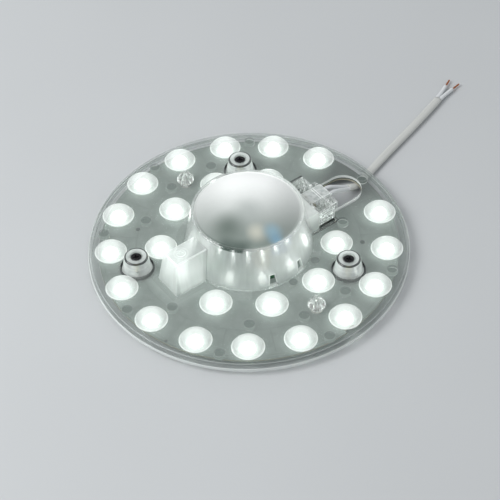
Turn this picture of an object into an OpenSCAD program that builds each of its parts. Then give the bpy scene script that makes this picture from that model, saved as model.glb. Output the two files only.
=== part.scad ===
// Magnetic LED module for refitting a round ceiling lamp.
// A clear lens plate carries a ring of dome lenses over a white LED board. A domed driver cover
// stands in the middle, a clear terminal block beside it, and three magnet feet hold the module
// to the lamp's steel base. It lies here on its magnets with the lenses up.
// The frame has +Z up, the origin under the centre on the surface that the magnets touch,
// and +X towards the terminal block and the cord.

/* [Lens plate] */
// Diameter of the plate at its top edge
plate_d = 163; // [161:0.5:176]
// Thickness of the plate
plate_t = 1.7; // [1.2:0.1:2.4]
// Thickness of the skirt's wall
skirt_t = 1.2; // [0.8:0.1:1.8]
// How far the skirt hangs below the plate's underside
skirt_drop = 3; // [2.4:0.1:4]
// How far the flange at the skirt's foot stands out
skirt_flange_w = 1; // [0.5:0.1:2.5]
// Height of the flange at the skirt's foot
skirt_flange_h = 2; // [1:0.1:2.3]
// Rounding of the plate's outer edges
rim_round = 0.4; // [0.2:0.1:0.6]
// Diameter of the pads that stand the plate off the board
pad_d = 5.8; // [4:0.1:6.4]
// Distance of the outer pads' middles from the plate's edge
pad_margin = 6.3; // [5.5:0.1:7.5]

/* [Lenses] */
// Diameter of a dome lens
lens_d = 16.8; // [12:0.1:18]
// Height of a dome lens above the plate
lens_h = 5; // [3.5:0.1:7]
// Diameter of the hollow over each LED
hollow_d = 7; // [5.2:0.1:9]
// Straight part of that hollow below its round top
hollow_straight = 0.6; // [0.2:0.1:1]
// Distance of the outer lenses from the plate's edge
outer_margin = 2.4; // [1.6:0.1:4]
// Equal places round the outer ring, of which the cord slot takes one
outer_places = 17; // [13:2:19]
// Distance of the inner lenses from the driver cover
inner_margin = 3.3; // [2.8:0.1:4.3]
// Angle of the first inner lens from the cord's side
inner_first = 40; // [39:0.5:42]
// Angle between neighbouring inner lenses
inner_step = 36; // [34:0.5:36]

/* [LED board] */
// Distance of the LED board's edge from the skirt
board_margin = 3.3; // [1.3:0.1:4.3]
// Thickness of the LED board
board_t = 1; // [0.8:0.1:1.6]
// Space between the board and the plate
board_gap = 0.8; // [0.8:0.1:1.4]
// Diameter of the board's central hole
board_hole_d = 52; // [46:0.5:54]
// Length of an LED package
led_l = 3.5; // [2.8:0.1:4]
// Width of an LED package
led_w = 2.8; // [2:0.1:3.2]
// Height of an LED package
led_h = 0.7; // [0.5:0.05:0.75]

/* [Cord slot] */
// Gap between the slot's sides and the terminal block's nose
nose_gap = 0.3; // [0.2:0.05:0.6]
// Distance of the slot's round end from the plate's edge
slot_margin = 9.5; // [9.5:0.1:11.5]

/* [Driver cover] */
// Diameter of the cover's round wall at the plate
cover_base_d = 66.6; // [64:0.1:67]
// Diameter of the cover at its rim
cover_rim_d = 57.4; // [55:0.1:62]
// Height of the rim above the plate
cover_rim_h = 23; // [21.6:0.1:30]
// Height of the domed cap above the rim
cap_h = 6.2; // [4:0.1:9]
// Width of the clear ring between the rim and the cap
rim_ring_w = 1.5; // [1:0.1:2.5]
// Wall thickness of the cover
cover_wall = 1.5; // [1.2:0.1:2]
// Gap between the cover and the plate's opening
cover_fit = 0.3; // [0.1:0.05:0.5]
// Width of the flange that the plate clamps to the board
cover_flange_w = 4.6; // [3.5:0.1:4.8]
// How far the screw box stands out from the round wall at the plate
box_out = 17.3; // [15.7:0.1:18.7]
// How far the end of the screw box leans in at its top
box_lean = 2.6; // [1.6:0.1:3.6]
// Width of the screw box at the plate
box_base_w = 15.6; // [14:0.1:17]
// Width of the screw box at its top
box_top_w = 11; // [10:0.1:13]
// Height of the screw box above the plate
box_h = 18; // [14:0.1:19]
// How far the terminal side stands out from the round wall
side_out = 1.7; // [1.1:0.1:2.3]
// How far the flanks of the terminal side lean in at its top
side_lean = 0.6; // [0.2:0.1:2]
// Height of the terminal side above the plate
side_h = 9.3; // [8.5:0.1:12]
// Width of a vent at its foot
vent_base_w = 3.9; // [2.5:0.1:5]
// Width of a vent at its top
vent_top_w = 2.4; // [1.5:0.1:3.5]
// Height of a vent
vent_h = 6.3; // [4:0.1:8]
// Angle of the vents to either side of the cover's flanks
vent_turn = 15; // [12:0.5:25]

/* [Driver base] */
// Thickness of the base under the board
base_t = 1.2; // [1:0.1:1.5]
// Width of the base's lip under the board
base_lip_w = 4; // [2:0.1:4.5]
// Distance of the cover's screw from the end of the screw box
screw_inset = 8.6; // [7.6:0.1:10]
// Diameter of the cover's screw boss
boss_d = 7; // [6:0.1:7.4]

/* [Terminal block] */
// Length of the terminal block
term_l = 9.7; // [9.3:0.1:10]
// Width of the terminal block
term_w = 28; // [26.6:0.1:29]
// Height of the terminal block above the base
term_h = 12.3; // [11.8:0.1:14]
// Length of the nose where the cores go in
nose_l = 6; // [4.5:0.1:6.2]
// Width of the nose
nose_w = 18.6; // [16:0.1:18.8]
// Height of the nose above the base
nose_h = 7.8; // [7:0.1:9]
// Wall thickness of the terminal block
term_wall = 1.2; // [1:0.1:1.4]
// Width of the bridge plate over the two cores
bridge_w = 8.8; // [8.4:0.1:9]
// Gap between the terminal block and the plate's opening
term_gap = 1.3; // [0.8:0.1:1.4]

/* [Magnet feet] */
// Diameter of a magnet
magnet_d = 14; // [10:0.1:14.6]
// Height of a magnet
magnet_h = 3.6; // [3.6:0.1:4.4]
// Diameter of a post at its foot
post_base_d = 14.6; // [14:0.1:15]
// Diameter of a post at its top
post_top_d = 12; // [10:0.1:13]
// Height of a post above the board
post_h = 9.3; // [8:0.1:12]
// Gap between a post and the plate's hole
post_gap = 1; // [0.6:0.05:1]
// Diameter of a foot screw's head
head_d = 5.4; // [5:0.1:6.5]
// Height of a foot screw's head
head_h = 2; // [1.6:0.1:2.6]
// Diameter of a screw's shank
shank_d = 3; // [2.5:0.1:3]

/* [Board clips] */
// How far the clips stand outside the point equally far from two lenses
clip_shift = 0.4; // [-1:0.1:1]
// Diameter of a clip's stem
clip_stem_d = 6; // [5:0.1:6.6]
// Diameter of a clip's barbed crown
clip_crown_d = 9; // [8:0.1:9.6]
// Height of a clip's crown above the plate
clip_crown_h = 5.4; // [4.5:0.1:7]
// Height of each step of a clip's barb
clip_barb_h = 0.8; // [0.5:0.1:1.2]
// How far a clip's tip is thinner than its stem
clip_taper = 0.6; // [0.3:0.1:1]
// Diameter of a clip's head under the board
clip_head_d = 10; // [8:0.1:11]

/* [Driver] */
// Distance of the driver board's edge from the cover's wall
driver_margin = 2.8; // [2.3:0.1:3.8]
// Thickness of the driver board
driver_t = 1.6; // [1:0.1:1.6]
// Height of the driver board's underside above the base
driver_lift = 3.8; // [3.4:0.1:4.2]
// Diameter of the bulk capacitor
bulk_d = 16; // [12:0.5:16]
// Height of the bulk capacitor
bulk_h = 17; // [12:0.5:18]
// Height of the film capacitor
film_h = 15; // [10:0.5:16]
// Diameter of the varistor's disc
varistor_d = 14; // [10:0.5:14]
// Width of the transformer's core
core_w = 18; // [15:0.5:18]
// Height of the transformer's core
core_h = 15; // [12:0.5:17]

/* [Cord] */
// Width of the flat cord's sheath
cord_w = 4.6; // [3.6:0.1:5]
// Thickness of the flat cord's sheath
cord_t = 2.9; // [2.4:0.1:3]
// Diameter of a core
wire_d = 2.2; // [1.8:0.1:2.3]
// Diameter of a core's bare end
tip_d = 1; // [0.6:0.1:1.2]

/* [Hidden] */
$fn = 64;

// Small working allowances
eps = 0.01;
slide_fit = 0.1;
thread_fit = 0.05;

// Heights, from the surface that the magnets touch
magnet_sink = 0.4;
cord_room = 0.15;
board_z = max(magnet_h - magnet_sink, cord_t + cord_room);
board_top = board_z + board_t;
plate_z = board_top + board_gap;
plate_top = plate_z + plate_t;
skirt_z = plate_z - skirt_drop;
base_z = board_z - base_t;
rim_z = plate_top + cover_rim_h;
driver_z = board_z + driver_lift;
driver_top = driver_z + driver_t;
term_top = board_z + term_h;
nose_top = board_z + nose_h;
post_top = board_top + post_h;

// Plan sizes
plate_r = plate_d / 2;
flange_r = plate_r + skirt_flange_w;
board_r = plate_r - skirt_t - board_margin;
cover_r = cover_base_d / 2;
cover_rim_r = cover_rim_d / 2;
cap_r = cover_rim_r - rim_ring_w;
box_reach = cover_r + box_out;
box_top_reach = box_reach - box_lean;
screw_reach = box_reach - screw_inset;
side_reach = cover_r + side_out;
driver_d = 2 * (cover_r - cover_wall - driver_margin);
term_x = side_reach + cover_fit;
term_end = term_x + term_l;
nose_end = term_end + nose_l;
opening_half_w = term_w / 2 + term_gap;
slot_w = nose_w + 2 * nose_gap;
slot_end = plate_r - slot_margin;
post_r = post_base_d / 2;
post_hole_r = post_r + post_gap;
post_flange_r = post_hole_r + 1.6;

// Where the lenses, pads, feet and clips stand, as radius and angle
lens_r = lens_d / 2;
outer_ring_r = plate_r - outer_margin - lens_r;
inner_ring_r = cover_r + inner_margin + lens_r;
inner_per_side = 4;
outer_step = 360 / outer_places;
lens_places = concat(
  [for (k = [1 : outer_places - 1]) [outer_ring_r, k * outer_step]],
  [for (side = [-1, 1], k = [0 : inner_per_side - 1]) [inner_ring_r, side * (inner_first + k * inner_step)]]
);
outer_pad_r = plate_r - pad_margin;
outer_pad_steps = [2.5, 4.5, 6.5];
ring_mid_r = (outer_ring_r + inner_ring_r) / 2;
rear_pad = [0.15, -167.6];
mid_pads = [[1.65, 73], [-0.35, 98.5], [-2.05, 126.5], [-7.35, 21.5]];
both_sides = [-1, 1];
pad_places = concat(
  [[outer_pad_r, 0], [outer_pad_r, 180], [ring_mid_r + rear_pad[0], rear_pad[1]]],
  [for (s = both_sides, k = outer_pad_steps) [outer_pad_r, s * k * outer_step]],
  [for (s = both_sides, p = mid_pads) [ring_mid_r + p[0], s * p[1]]]
);
cover_pad_r = cover_r + cover_flange_w / 2;
cover_pad_angles = [60, 90, 122];

// Each foot stands where it is equally far from three lenses
function equal_point(a, b, c) =
  let(
    d = 2 * (a[0] * (b[1] - c[1]) + b[0] * (c[1] - a[1]) + c[0] * (a[1] - b[1])),
    x = ((a * a) * (b[1] - c[1]) + (b * b) * (c[1] - a[1]) + (c * c) * (a[1] - b[1])) / d,
    y = ((a * a) * (c[0] - b[0]) + (b * b) * (a[0] - c[0]) + (c * c) * (b[0] - a[0])) / d
  )
  [norm([x, y]), atan2(y, x)];
function outer_lens(k) = outer_ring_r * [cos(k * outer_step), sin(k * outer_step)];
function inner_lens(k) =
  inner_ring_r * [cos(inner_first + k * inner_step), sin(inner_first + k * inner_step)];
side_k = round((inner_first + inner_step / 2) / outer_step);
rear_k = floor((outer_places - 1) / 2) - 1;
left_foot = equal_point(outer_lens(side_k), inner_lens(0), inner_lens(1));
right_foot = [left_foot[0], -left_foot[1]];
rear_foot = equal_point(outer_lens(rear_k), outer_lens(rear_k + 1), inner_lens(inner_per_side - 1));
feet = [left_foot, right_foot, rear_foot];

// Each clip stands on the Y axis where it is equally far from an outer and an inner lens
function level_r(a, b) = (a * a - b * b) / (2 * (a[1] - b[1]));
clip_k = floor(90 / outer_step);
clip_r = level_r(outer_lens(clip_k), inner_lens(1)) + clip_shift;
clip_places = [[clip_r, 90], [clip_r, -90]];

// Cores and cord: centres and routes
wire_y = 2.2;
wire_z = board_z + 7.6;
clamp_y = 3.2;
clamp_w = 3.4;
clamp_x = term_x + term_wall + 0.4;
clamp_l = 3.2;
clamp_h = 3.6;
cord_rest_z = cord_t / 2 + 0.05;

// The sheath drops through the slot, passes under the board and lies on the table; the first
// number of each place runs on from the slot's end
sheath_lie = [
  [4, 2], [10, 3.8], [16, 5.8], [24, 8.4], [32, 10.9], [40, 13.3], [48, 15.7], [56, 18.1],
  [64, 20.6], [72, 23.2], [80, 25.9]
];
sheath_route = concat(
  [
    [slot_end - 6, 0.5, board_top], [slot_end - 3, 0.6, (board_top + cord_rest_z) / 2],
    [slot_end, 1, cord_rest_z + 0.05]
  ],
  [for (p = sheath_lie) [slot_end + p[0], p[1], cord_rest_z]]
);

function polar(p, z = 0) = [p[0] * cos(p[1]), p[0] * sin(p[1]), z];
function unit(v) = v / norm(v);
function tangent(route, i) =
  unit(route[min(i + 1, len(route) - 1)] - route[max(i - 1, 0)]);

module at(place, z = 0) {
  translate(polar(place, z)) rotate(place[1]) children();
}

// Quarter-round waste at an outer corner of a profile, corner at [radius, radius]
module corner_waste(radius) {
  difference() {
    square(radius + eps);
    circle(radius);
  }
}

// Closed outline whose chosen corners are rounded by true arcs; corners holds [x, y, radius]
function corner_at(c, i) = let(p = c[(i + len(c)) % len(c)]) [p[0], p[1]];
function half_angle(c, i) =
  let(a = unit(corner_at(c, i - 1) - corner_at(c, i)), b = unit(corner_at(c, i + 1) - corner_at(c, i)))
  acos(a * b) / 2;
function arc_centre(c, i) =
  let(
    a = unit(corner_at(c, i - 1) - corner_at(c, i)),
    b = unit(corner_at(c, i + 1) - corner_at(c, i))
  )
  corner_at(c, i) + unit(a + b) * c[i][2] / sin(half_angle(c, i));
function cut_points(c, i) =
  let(
    a = unit(corner_at(c, i - 1) - corner_at(c, i)),
    b = unit(corner_at(c, i + 1) - corner_at(c, i)),
    run = c[i][2] / tan(half_angle(c, i))
  )
  c[i][2] == 0 ? [corner_at(c, i)] : [corner_at(c, i) + a * run, corner_at(c, i) + b * run];

module rounded_outline(c) {
  polygon([for (i = [0 : len(c) - 1]) for (p = cut_points(c, i)) p]);
  for (i = [0 : len(c) - 1])
    if (c[i][2] > 0) translate(arc_centre(c, i)) circle(c[i][2]);
}

// Box with drafted sides and one drafted end, from x0 to its end, both given at its foot and top
module drafted_box(x0, x_foot, x_top, w_foot, w_top, z_low, z_foot, z_top, radius) {
  dir = sign(x_foot - x0);
  intersection() {
    translate([0, w_foot, 0])
      rotate([90, 0, 0])
        linear_extrude(2 * w_foot)
          rounded_outline([
            [x0, z_low, 0], [x_foot, z_low, 0], [x_foot, z_foot, 0], [x_top, z_top, radius], [x0, z_top, 0]
          ]);
    translate([dir > 0 ? x0 - eps : x_foot - 1, 0, 0])
      rotate([90, 0, 90])
        linear_extrude(abs(x_foot - x0) + 1 + eps)
          rounded_outline([
            [-w_foot / 2, z_low, 0], [w_foot / 2, z_low, 0], [w_foot / 2, z_foot, 0],
            [w_top / 2, z_top, radius], [-w_top / 2, z_top, radius], [-w_foot / 2, z_foot, 0]
          ]);
  }
}

// Lens plate

module plate_profile() {
  difference() {
    union() {
      translate([0, plate_z]) square([plate_r, plate_t]);
      translate([plate_r - skirt_t, skirt_z]) square([skirt_t, skirt_drop + plate_t]);
      translate([plate_r - skirt_t, skirt_z]) square([skirt_t + skirt_flange_w, skirt_flange_h]);
    }
    translate([plate_r - rim_round, plate_top - rim_round]) corner_waste(rim_round);
    translate([flange_r - rim_round, skirt_z + skirt_flange_h - rim_round]) corner_waste(rim_round);
    translate([flange_r - rim_round, skirt_z + rim_round]) mirror([0, 1]) corner_waste(rim_round);
  }
}

lens_ball_r = (lens_r * lens_r + lens_h * lens_h) / (2 * lens_h);
lens_ball_z = plate_top + lens_h - lens_ball_r;

// Dome lens, a cap of a ball that starts inside the plate
module lens_dome() {
  rotate_extrude()
    intersection() {
      translate([0, lens_ball_z]) circle(lens_ball_r);
      translate([0, plate_z + plate_t / 2]) square([lens_ball_r, lens_h + plate_t]);
    }
}

module lens_hollow() {
  rotate_extrude()
    union() {
      translate([0, plate_z - eps]) square([hollow_d / 2, hollow_straight + eps]);
      intersection() {
        translate([0, plate_z + hollow_straight]) circle(hollow_d / 2);
        translate([0, plate_z]) square(hollow_d);
      }
    }
}

module slot_outline(grow = 0) {
  half_w = slot_w / 2 + grow;
  translate([0, -half_w]) square([slot_end - slot_w / 2, 2 * half_w]);
  translate([slot_end - slot_w / 2, 0]) circle(half_w);
}

// Opening in the plate for the cover, the terminal block and the cord
module plate_opening() {
  circle(cover_r + cover_fit);
  translate([-box_reach - cover_fit, -box_base_w / 2 - cover_fit])
    square([box_reach + cover_fit, box_base_w + 2 * cover_fit]);
  translate([0, -opening_half_w]) square([term_end + cover_fit, 2 * opening_half_w]);
  slot_outline();
}

cord_notch_w = cord_w + 1.6;
cord_notch_h = cord_t + 0.5;
cord_exit = sheath_route[4];

module lens_plate() {
  color([0.84, 0.92, 0.94, 0.5])
    difference() {
      union() {
        rotate_extrude($fn = 128) plate_profile();
        for (p = lens_places) at(p) lens_dome();
        for (p = pad_places) at(p, board_top) cylinder(d = pad_d, h = board_gap + plate_t / 2);
      }
      for (p = lens_places) at(p) lens_hollow();
      translate([0, 0, board_z]) linear_extrude(plate_top) plate_opening();
      for (p = feet) at(p, board_z) cylinder(r = post_hole_r, h = plate_top);
      for (p = clip_places) at(p, board_z) cylinder(d = clip_stem_d + 2 * slide_fit, h = plate_top);
      translate([plate_r - 2 * skirt_t, cord_exit[1] - cord_notch_w / 2, skirt_z - eps])
        cube([4 * skirt_t + skirt_flange_w, cord_notch_w, cord_notch_h - skirt_z + eps]);
    }
}

// LED board and its LEDs

notch_angle = -86.3;
notch_w = 5.5;
notch_depth = 1.8;

module board_outline() {
  difference() {
    circle(board_r, $fn = 128);
    circle(d = board_hole_d);
    translate([0, -opening_half_w]) square([term_end + cover_fit, 2 * opening_half_w]);
    slot_outline();
    translate([-screw_reach, 0]) circle(d = boss_d + 1);
    for (p = feet) translate(polar(p)) circle(post_hole_r);
    for (p = clip_places) translate(polar(p)) circle(d = clip_stem_d + 2 * slide_fit);
    rotate(notch_angle) translate([board_r - notch_depth, -notch_w / 2]) square(notch_w);
  }
}

module led_board() {
  color([0.93, 0.94, 0.92])
    translate([0, 0, board_z]) linear_extrude(board_t) board_outline();
}

module leds() {
  color([0.98, 0.95, 0.72])
    for (p = lens_places)
      at(p, board_top + led_h / 2) cube([led_l, led_w, led_h], center = true);
}

// Driver cover

cap_ball_r = (cap_r * cap_r + cap_h * cap_h) / (2 * cap_h);
ring_round = 0.6;
cap_groove = 0.5;
wall_slope = (cover_r - cover_rim_r) / cover_rim_h;

// Half section of the round cover: straight foot, drafted wall, rounded rim ring and domed cap
module cover_profile() {
  difference() {
    polygon([
      [0, board_top], [cover_r, board_top], [cover_r, plate_top], [cover_rim_r, rim_z], [0, rim_z]
    ]);
    translate([cap_r, rim_z - cap_groove]) square([cap_groove, 2 * cap_groove]);
    translate([cover_rim_r - ring_round, rim_z - ring_round]) corner_waste(ring_round);
  }
  intersection() {
    translate([0, rim_z - cap_groove + cap_h - cap_ball_r]) circle(cap_ball_r, $fn = 160);
    translate([0, rim_z - 2 * cap_groove]) square([cap_r, cap_h + 2 * cap_groove]);
  }
}

inner_ceiling = rim_z - cap_groove - cover_wall;

module cover_hollow_profile() {
  polygon([
    [0, board_top - eps], [cover_r - cover_wall, board_top - eps], [cover_r - cover_wall, plate_top],
    [cover_r - cover_wall - wall_slope * (inner_ceiling - plate_top), inner_ceiling], [0, inner_ceiling]
  ]);
  intersection() {
    translate([0, rim_z - cap_groove + cap_h - cap_ball_r]) circle(cap_ball_r - cover_wall, $fn = 160);
    translate([0, inner_ceiling - eps]) square([cap_r - cover_wall, cap_h]);
  }
}

edge_round = 1;

// The window of the terminal side is cut through the flat side and the round wall
window_reach = max(side_reach, cover_r) + 1;

module cover_outside() {
  rotate_extrude($fn = 128) cover_profile();
  drafted_box(
    0, -box_reach, -box_top_reach, box_base_w, box_top_w, board_top, plate_top, plate_top + box_h, edge_round
  );
  drafted_box(
    0, side_reach, side_reach - eps, term_w, term_w - 2 * side_lean, board_top, plate_top,
    plate_top + side_h, 0
  );
}

module cover_inside() {
  rotate_extrude($fn = 128) cover_hollow_profile();
  drafted_box(
    0, -box_reach + cover_wall, -box_top_reach + cover_wall, box_base_w - 2 * cover_wall,
    box_top_w - 2 * cover_wall, board_top - eps, plate_top, plate_top + box_h - cover_wall, 0
  );
  drafted_box(
    0, window_reach, window_reach - eps, term_w - 2 * cover_wall, term_w - 2 * side_lean - 2 * cover_wall,
    board_top - eps, plate_top, plate_top + side_h - cover_wall, 0
  );
}

// Flange between the board and the plate, all round but for the terminal's side
flange_t = board_gap - slide_fit;
box_flange_w = 2.6;

module cover_flange() {
  difference() {
    union() {
      translate([0, 0, board_top])
        linear_extrude(flange_t)
          difference() {
            union() {
              circle(cover_r + cover_flange_w);
              translate([-box_reach - box_flange_w, -box_base_w / 2 - box_flange_w])
                square([box_reach, box_base_w + 2 * box_flange_w]);
            }
            circle(cover_r - cover_wall / 2);
            translate([-box_reach + cover_wall / 2, -box_base_w / 2 + cover_wall / 2])
              square([box_reach, box_base_w - cover_wall]);
            // Room for the posts' flanges and for the plate's pads
            for (p = feet) translate(polar(p)) circle(post_flange_r + slide_fit);
            for (p = pad_places) translate(polar(p)) circle(pad_d / 2 + slide_fit);
          }
      for (s = both_sides, a = cover_pad_angles)
        at([cover_pad_r, s * a], board_top) cylinder(d = cover_flange_w - 1, h = board_gap);
    }
    translate([0, -opening_half_w - 1, board_top - 1]) cube([plate_r, 2 * opening_half_w + 2, plate_t + 2]);
  }
}

boss_r = boss_d / 2;
gate_mark_d = 3.6;
gate_mark_depth = 0.4;

module vent() {
  translate([cover_rim_r - cover_wall, 0, plate_top])
    rotate([90, 0, 90])
      linear_extrude(cover_r)
        polygon([
          [-vent_base_w / 2, 0], [vent_base_w / 2, 0], [vent_top_w / 2, vent_h], [-vent_top_w / 2, vent_h]
        ]);
}

module driver_cover() {
  color([0.9, 0.93, 0.92, 0.7])
    difference() {
      union() {
        difference() {
          cover_outside();
          cover_inside();
        }
        cover_flange();
        translate([-screw_reach, 0, board_z])
          cylinder(r = boss_r, h = plate_top + box_h - board_z - cover_wall / 2);
      }
      translate([-screw_reach, 0, board_z - eps])
        cylinder(d = shank_d + 2 * thread_fit, h = plate_top + box_h - board_z - 2 * cover_wall);
      translate([-screw_reach, 0, plate_top + box_h - gate_mark_depth]) cylinder(d = gate_mark_d, h = 1);
      for (s = both_sides, t = both_sides) rotate(s * 90 + t * vent_turn) vent();
    }
}

// Driver base, which closes the driver from below and carries its board

stand_r = 22;
stand_angles = [45, 135, 225, 315];
stand_d = 4.6;
peg_d = 2;
spigot_t = 1.5;
spigot_r = board_hole_d / 2 - slide_fit;

module base_outline() {
  circle(board_hole_d / 2 + base_lip_w);
  translate([-screw_reach - boss_d, -boss_d]) square([screw_reach + boss_d, 2 * boss_d]);
  translate([0, -term_w / 2]) square([term_end, term_w]);
  translate([0, -nose_w / 2]) square([nose_end, nose_w]);
}

module driver_base() {
  color([0.9, 0.9, 0.88])
    difference() {
      union() {
        translate([0, 0, base_z]) linear_extrude(base_t) base_outline();
        difference() {
          translate([0, 0, board_z]) cylinder(r = spigot_r, h = board_t + 1);
          translate([0, 0, board_z - eps]) cylinder(r = spigot_r - spigot_t, h = board_t + 2);
          translate([0, -opening_half_w, board_z - eps]) cube([board_r, 2 * opening_half_w, board_t + 2]);
        }
        for (a = stand_angles) at([stand_r, a], board_z - eps) {
          cylinder(d = stand_d, h = driver_lift + eps);
          cylinder(d = peg_d, h = driver_lift + driver_t + 0.6);
        }
      }
      translate([-screw_reach, 0, base_z - eps]) cylinder(d = shank_d + 0.4, h = base_t + 2 * eps);
    }
}

cover_screw_head_d = 5.6;
cover_screw_head_h = 1.3;
cover_screw_l = 12;

// Round-headed screw with a cross recess, head down from z = 0 to -head_height, shank upwards
module screw(head_dia, head_height, shank_dia, shank_length) {
  recess = head_dia * 0.55;
  recess_w = head_dia * 0.15;
  difference() {
    union() {
      translate([0, 0, -head_height]) cylinder(d = head_dia, h = head_height);
      cylinder(d = shank_dia, h = shank_length);
    }
    for (a = [0, 90])
      rotate(a)
        translate([-recess / 2, -recess_w / 2, -head_height - eps])
          cube([recess, recess_w, head_height / 2]);
  }
}

module cover_screw() {
  color([0.72, 0.73, 0.74])
    translate([-screw_reach, 0, base_z])
      screw(cover_screw_head_d, cover_screw_head_h, shank_d, cover_screw_l);
}

// Driver board and what stands on it

bulk_at = [-13.5, -5.5];
film_at = [-6, -18.5];
film_l = 9;
film_w = 6;
varistor_at = [5.5, -18.5];
varistor_t = 5;
varistor_lead = 1.5;
lead_d = 0.8;
core_at = [6, 6];
core_l = 16;
core_leg = 4;
choke_at = [-9, 12.5];
choke_d = 10;
choke_h = 12;
bridge_at = [18.5, -8];
fuse_at = [18.5, -1.5];
chip_at = [-21, 8];

module driver_board() {
  color([0.16, 0.42, 0.27])
    difference() {
      translate([0, 0, driver_z]) cylinder(d = driver_d, h = driver_t);
      for (a = stand_angles)
        at([stand_r, a], driver_z - eps) cylinder(d = peg_d + 2 * slide_fit, h = driver_t + 2 * eps);
    }
}

module on_driver(place) {
  translate([place[0], place[1], driver_top]) children();
}

module bulk_capacitor() {
  groove_z = 2.2;
  groove_r = 0.6;
  vent_cut = 0.4;
  color([0.13, 0.3, 0.24])
    on_driver(bulk_at)
      difference() {
        rotate_extrude()
          difference() {
            square([bulk_d / 2, bulk_h]);
            translate([bulk_d / 2, groove_z]) circle(groove_r);
            translate([bulk_d / 2 - 1, bulk_h - 1]) corner_waste(1);
          }
        for (a = [0, 90])
          rotate(a)
            translate([-bulk_d / 3, -vent_cut / 2, bulk_h - vent_cut]) cube([2 * bulk_d / 3, vent_cut, 1]);
      }
}

module film_capacitor() {
  color([0.86, 0.78, 0.6])
    on_driver(film_at)
      translate([-film_w / 2, -film_l / 2, 0])
        linear_extrude(film_h)
          rounded_outline([[0, 0, 1], [film_w, 0, 1], [film_w, film_l, 1], [0, film_l, 1]]);
}

module varistor() {
  color([0.16, 0.42, 0.72])
    on_driver(varistor_at) {
      translate([0, 0, varistor_lead + varistor_d / 2])
        rotate([90, 0, 0])
          rotate_extrude()
            difference() {
              translate([0, -varistor_t / 2]) square([varistor_d / 2, varistor_t]);
              translate([varistor_d / 2 - 1.2, varistor_t / 2 - 1.2]) corner_waste(1.2);
              translate([varistor_d / 2 - 1.2, 1.2 - varistor_t / 2]) mirror([0, 1]) corner_waste(1.2);
            }
      for (s = both_sides)
        translate([s * varistor_d / 4, 0, 0]) cylinder(d = lead_d, h = varistor_lead + varistor_d / 3);
    }
}

coil_gap = 0.2;

// Two-window ferrite core that frames the coil
module transformer_core() {
  color([0.17, 0.17, 0.18])
    on_driver(core_at)
      translate([-core_w / 2, -core_l / 4, 0])
        difference() {
          cube([core_w, core_l / 2, core_h]);
          for (x = [core_leg, core_w / 2 + core_leg / 2])
            translate([x, -eps, core_leg])
              cube([core_w / 2 - 3 * core_leg / 2, core_l, core_h - 2 * core_leg]);
        }
}

// Coil round the core's middle leg, wrapped in tape
module transformer_coil() {
  outer_w = core_w - 2 * core_leg - 2 * coil_gap;
  leg_w = core_leg + 2 * coil_gap;
  color([0.85, 0.72, 0.25])
    on_driver(core_at)
      difference() {
        translate([-outer_w / 2, -core_l / 2, core_leg + coil_gap])
          cube([outer_w, core_l, core_h - 2 * core_leg - 2 * coil_gap]);
        translate([-leg_w / 2, -core_l / 4 - coil_gap, 0]) cube([leg_w, core_l / 2 + 2 * coil_gap, core_h]);
      }
}

module filter_choke() {
  flange_h = 1.8;
  color([0.2, 0.2, 0.21])
    on_driver(choke_at)
      rotate_extrude()
        difference() {
          square([choke_d / 2, choke_h]);
          translate([choke_d / 2 - 0.7, flange_h]) square([1, choke_h - 2 * flange_h]);
        }
}

module bridge_rectifier() {
  color([0.09, 0.09, 0.1])
    on_driver(bridge_at) {
      translate([-3.5, -2.6, 0.2]) cube([7, 5.2, 2.4]);
      for (x = [-2.4, 1.6], y = [-3.6, 2.6]) translate([x, y, 0]) cube([0.8, 1, 0.9]);
    }
}

module fuse_resistor() {
  fuse_d = 3.6;
  fuse_h = 9;
  color([0.35, 0.5, 0.38])
    on_driver(fuse_at) {
      cylinder(d = fuse_d, h = fuse_h);
      translate([0, 0, fuse_h - eps]) cylinder(d1 = fuse_d, d2 = fuse_d / 3, h = 1);
    }
}

module controller_chip() {
  color([0.1, 0.1, 0.11])
    on_driver(chip_at) {
      translate([-2, -2.5, 0.15]) cube([4, 5, 1.5]);
      for (k = [-1.5 : 1 : 1.5], x = [-3, 2]) translate([x, k * 1.2 - 0.2, 0]) cube([1, 0.4, 0.7]);
    }
}

pin_r = (board_hole_d + driver_d) / 4;
pin_angles = [118, 242];
pin_d = 1;

module output_pins() {
  color([0.85, 0.68, 0.32])
    for (a = pin_angles)
      at([pin_r, a], board_top) cylinder(d = pin_d, h = driver_z - board_top);
}

// Terminal block and its clamps

bay_floor = driver_top - board_z;
strip_t = 0.5;
strip_w = 2.4;
strip_x = driver_d / 2 - 6;
bridge_t = 1.4;
bridge_z = wire_z - board_z + wire_d / 2 + 0.5;
bridge_half = bridge_w / 2;
tunnel_wall = 0.7;
pocket_depth = 4;
pillar_d = 3.2;

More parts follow.
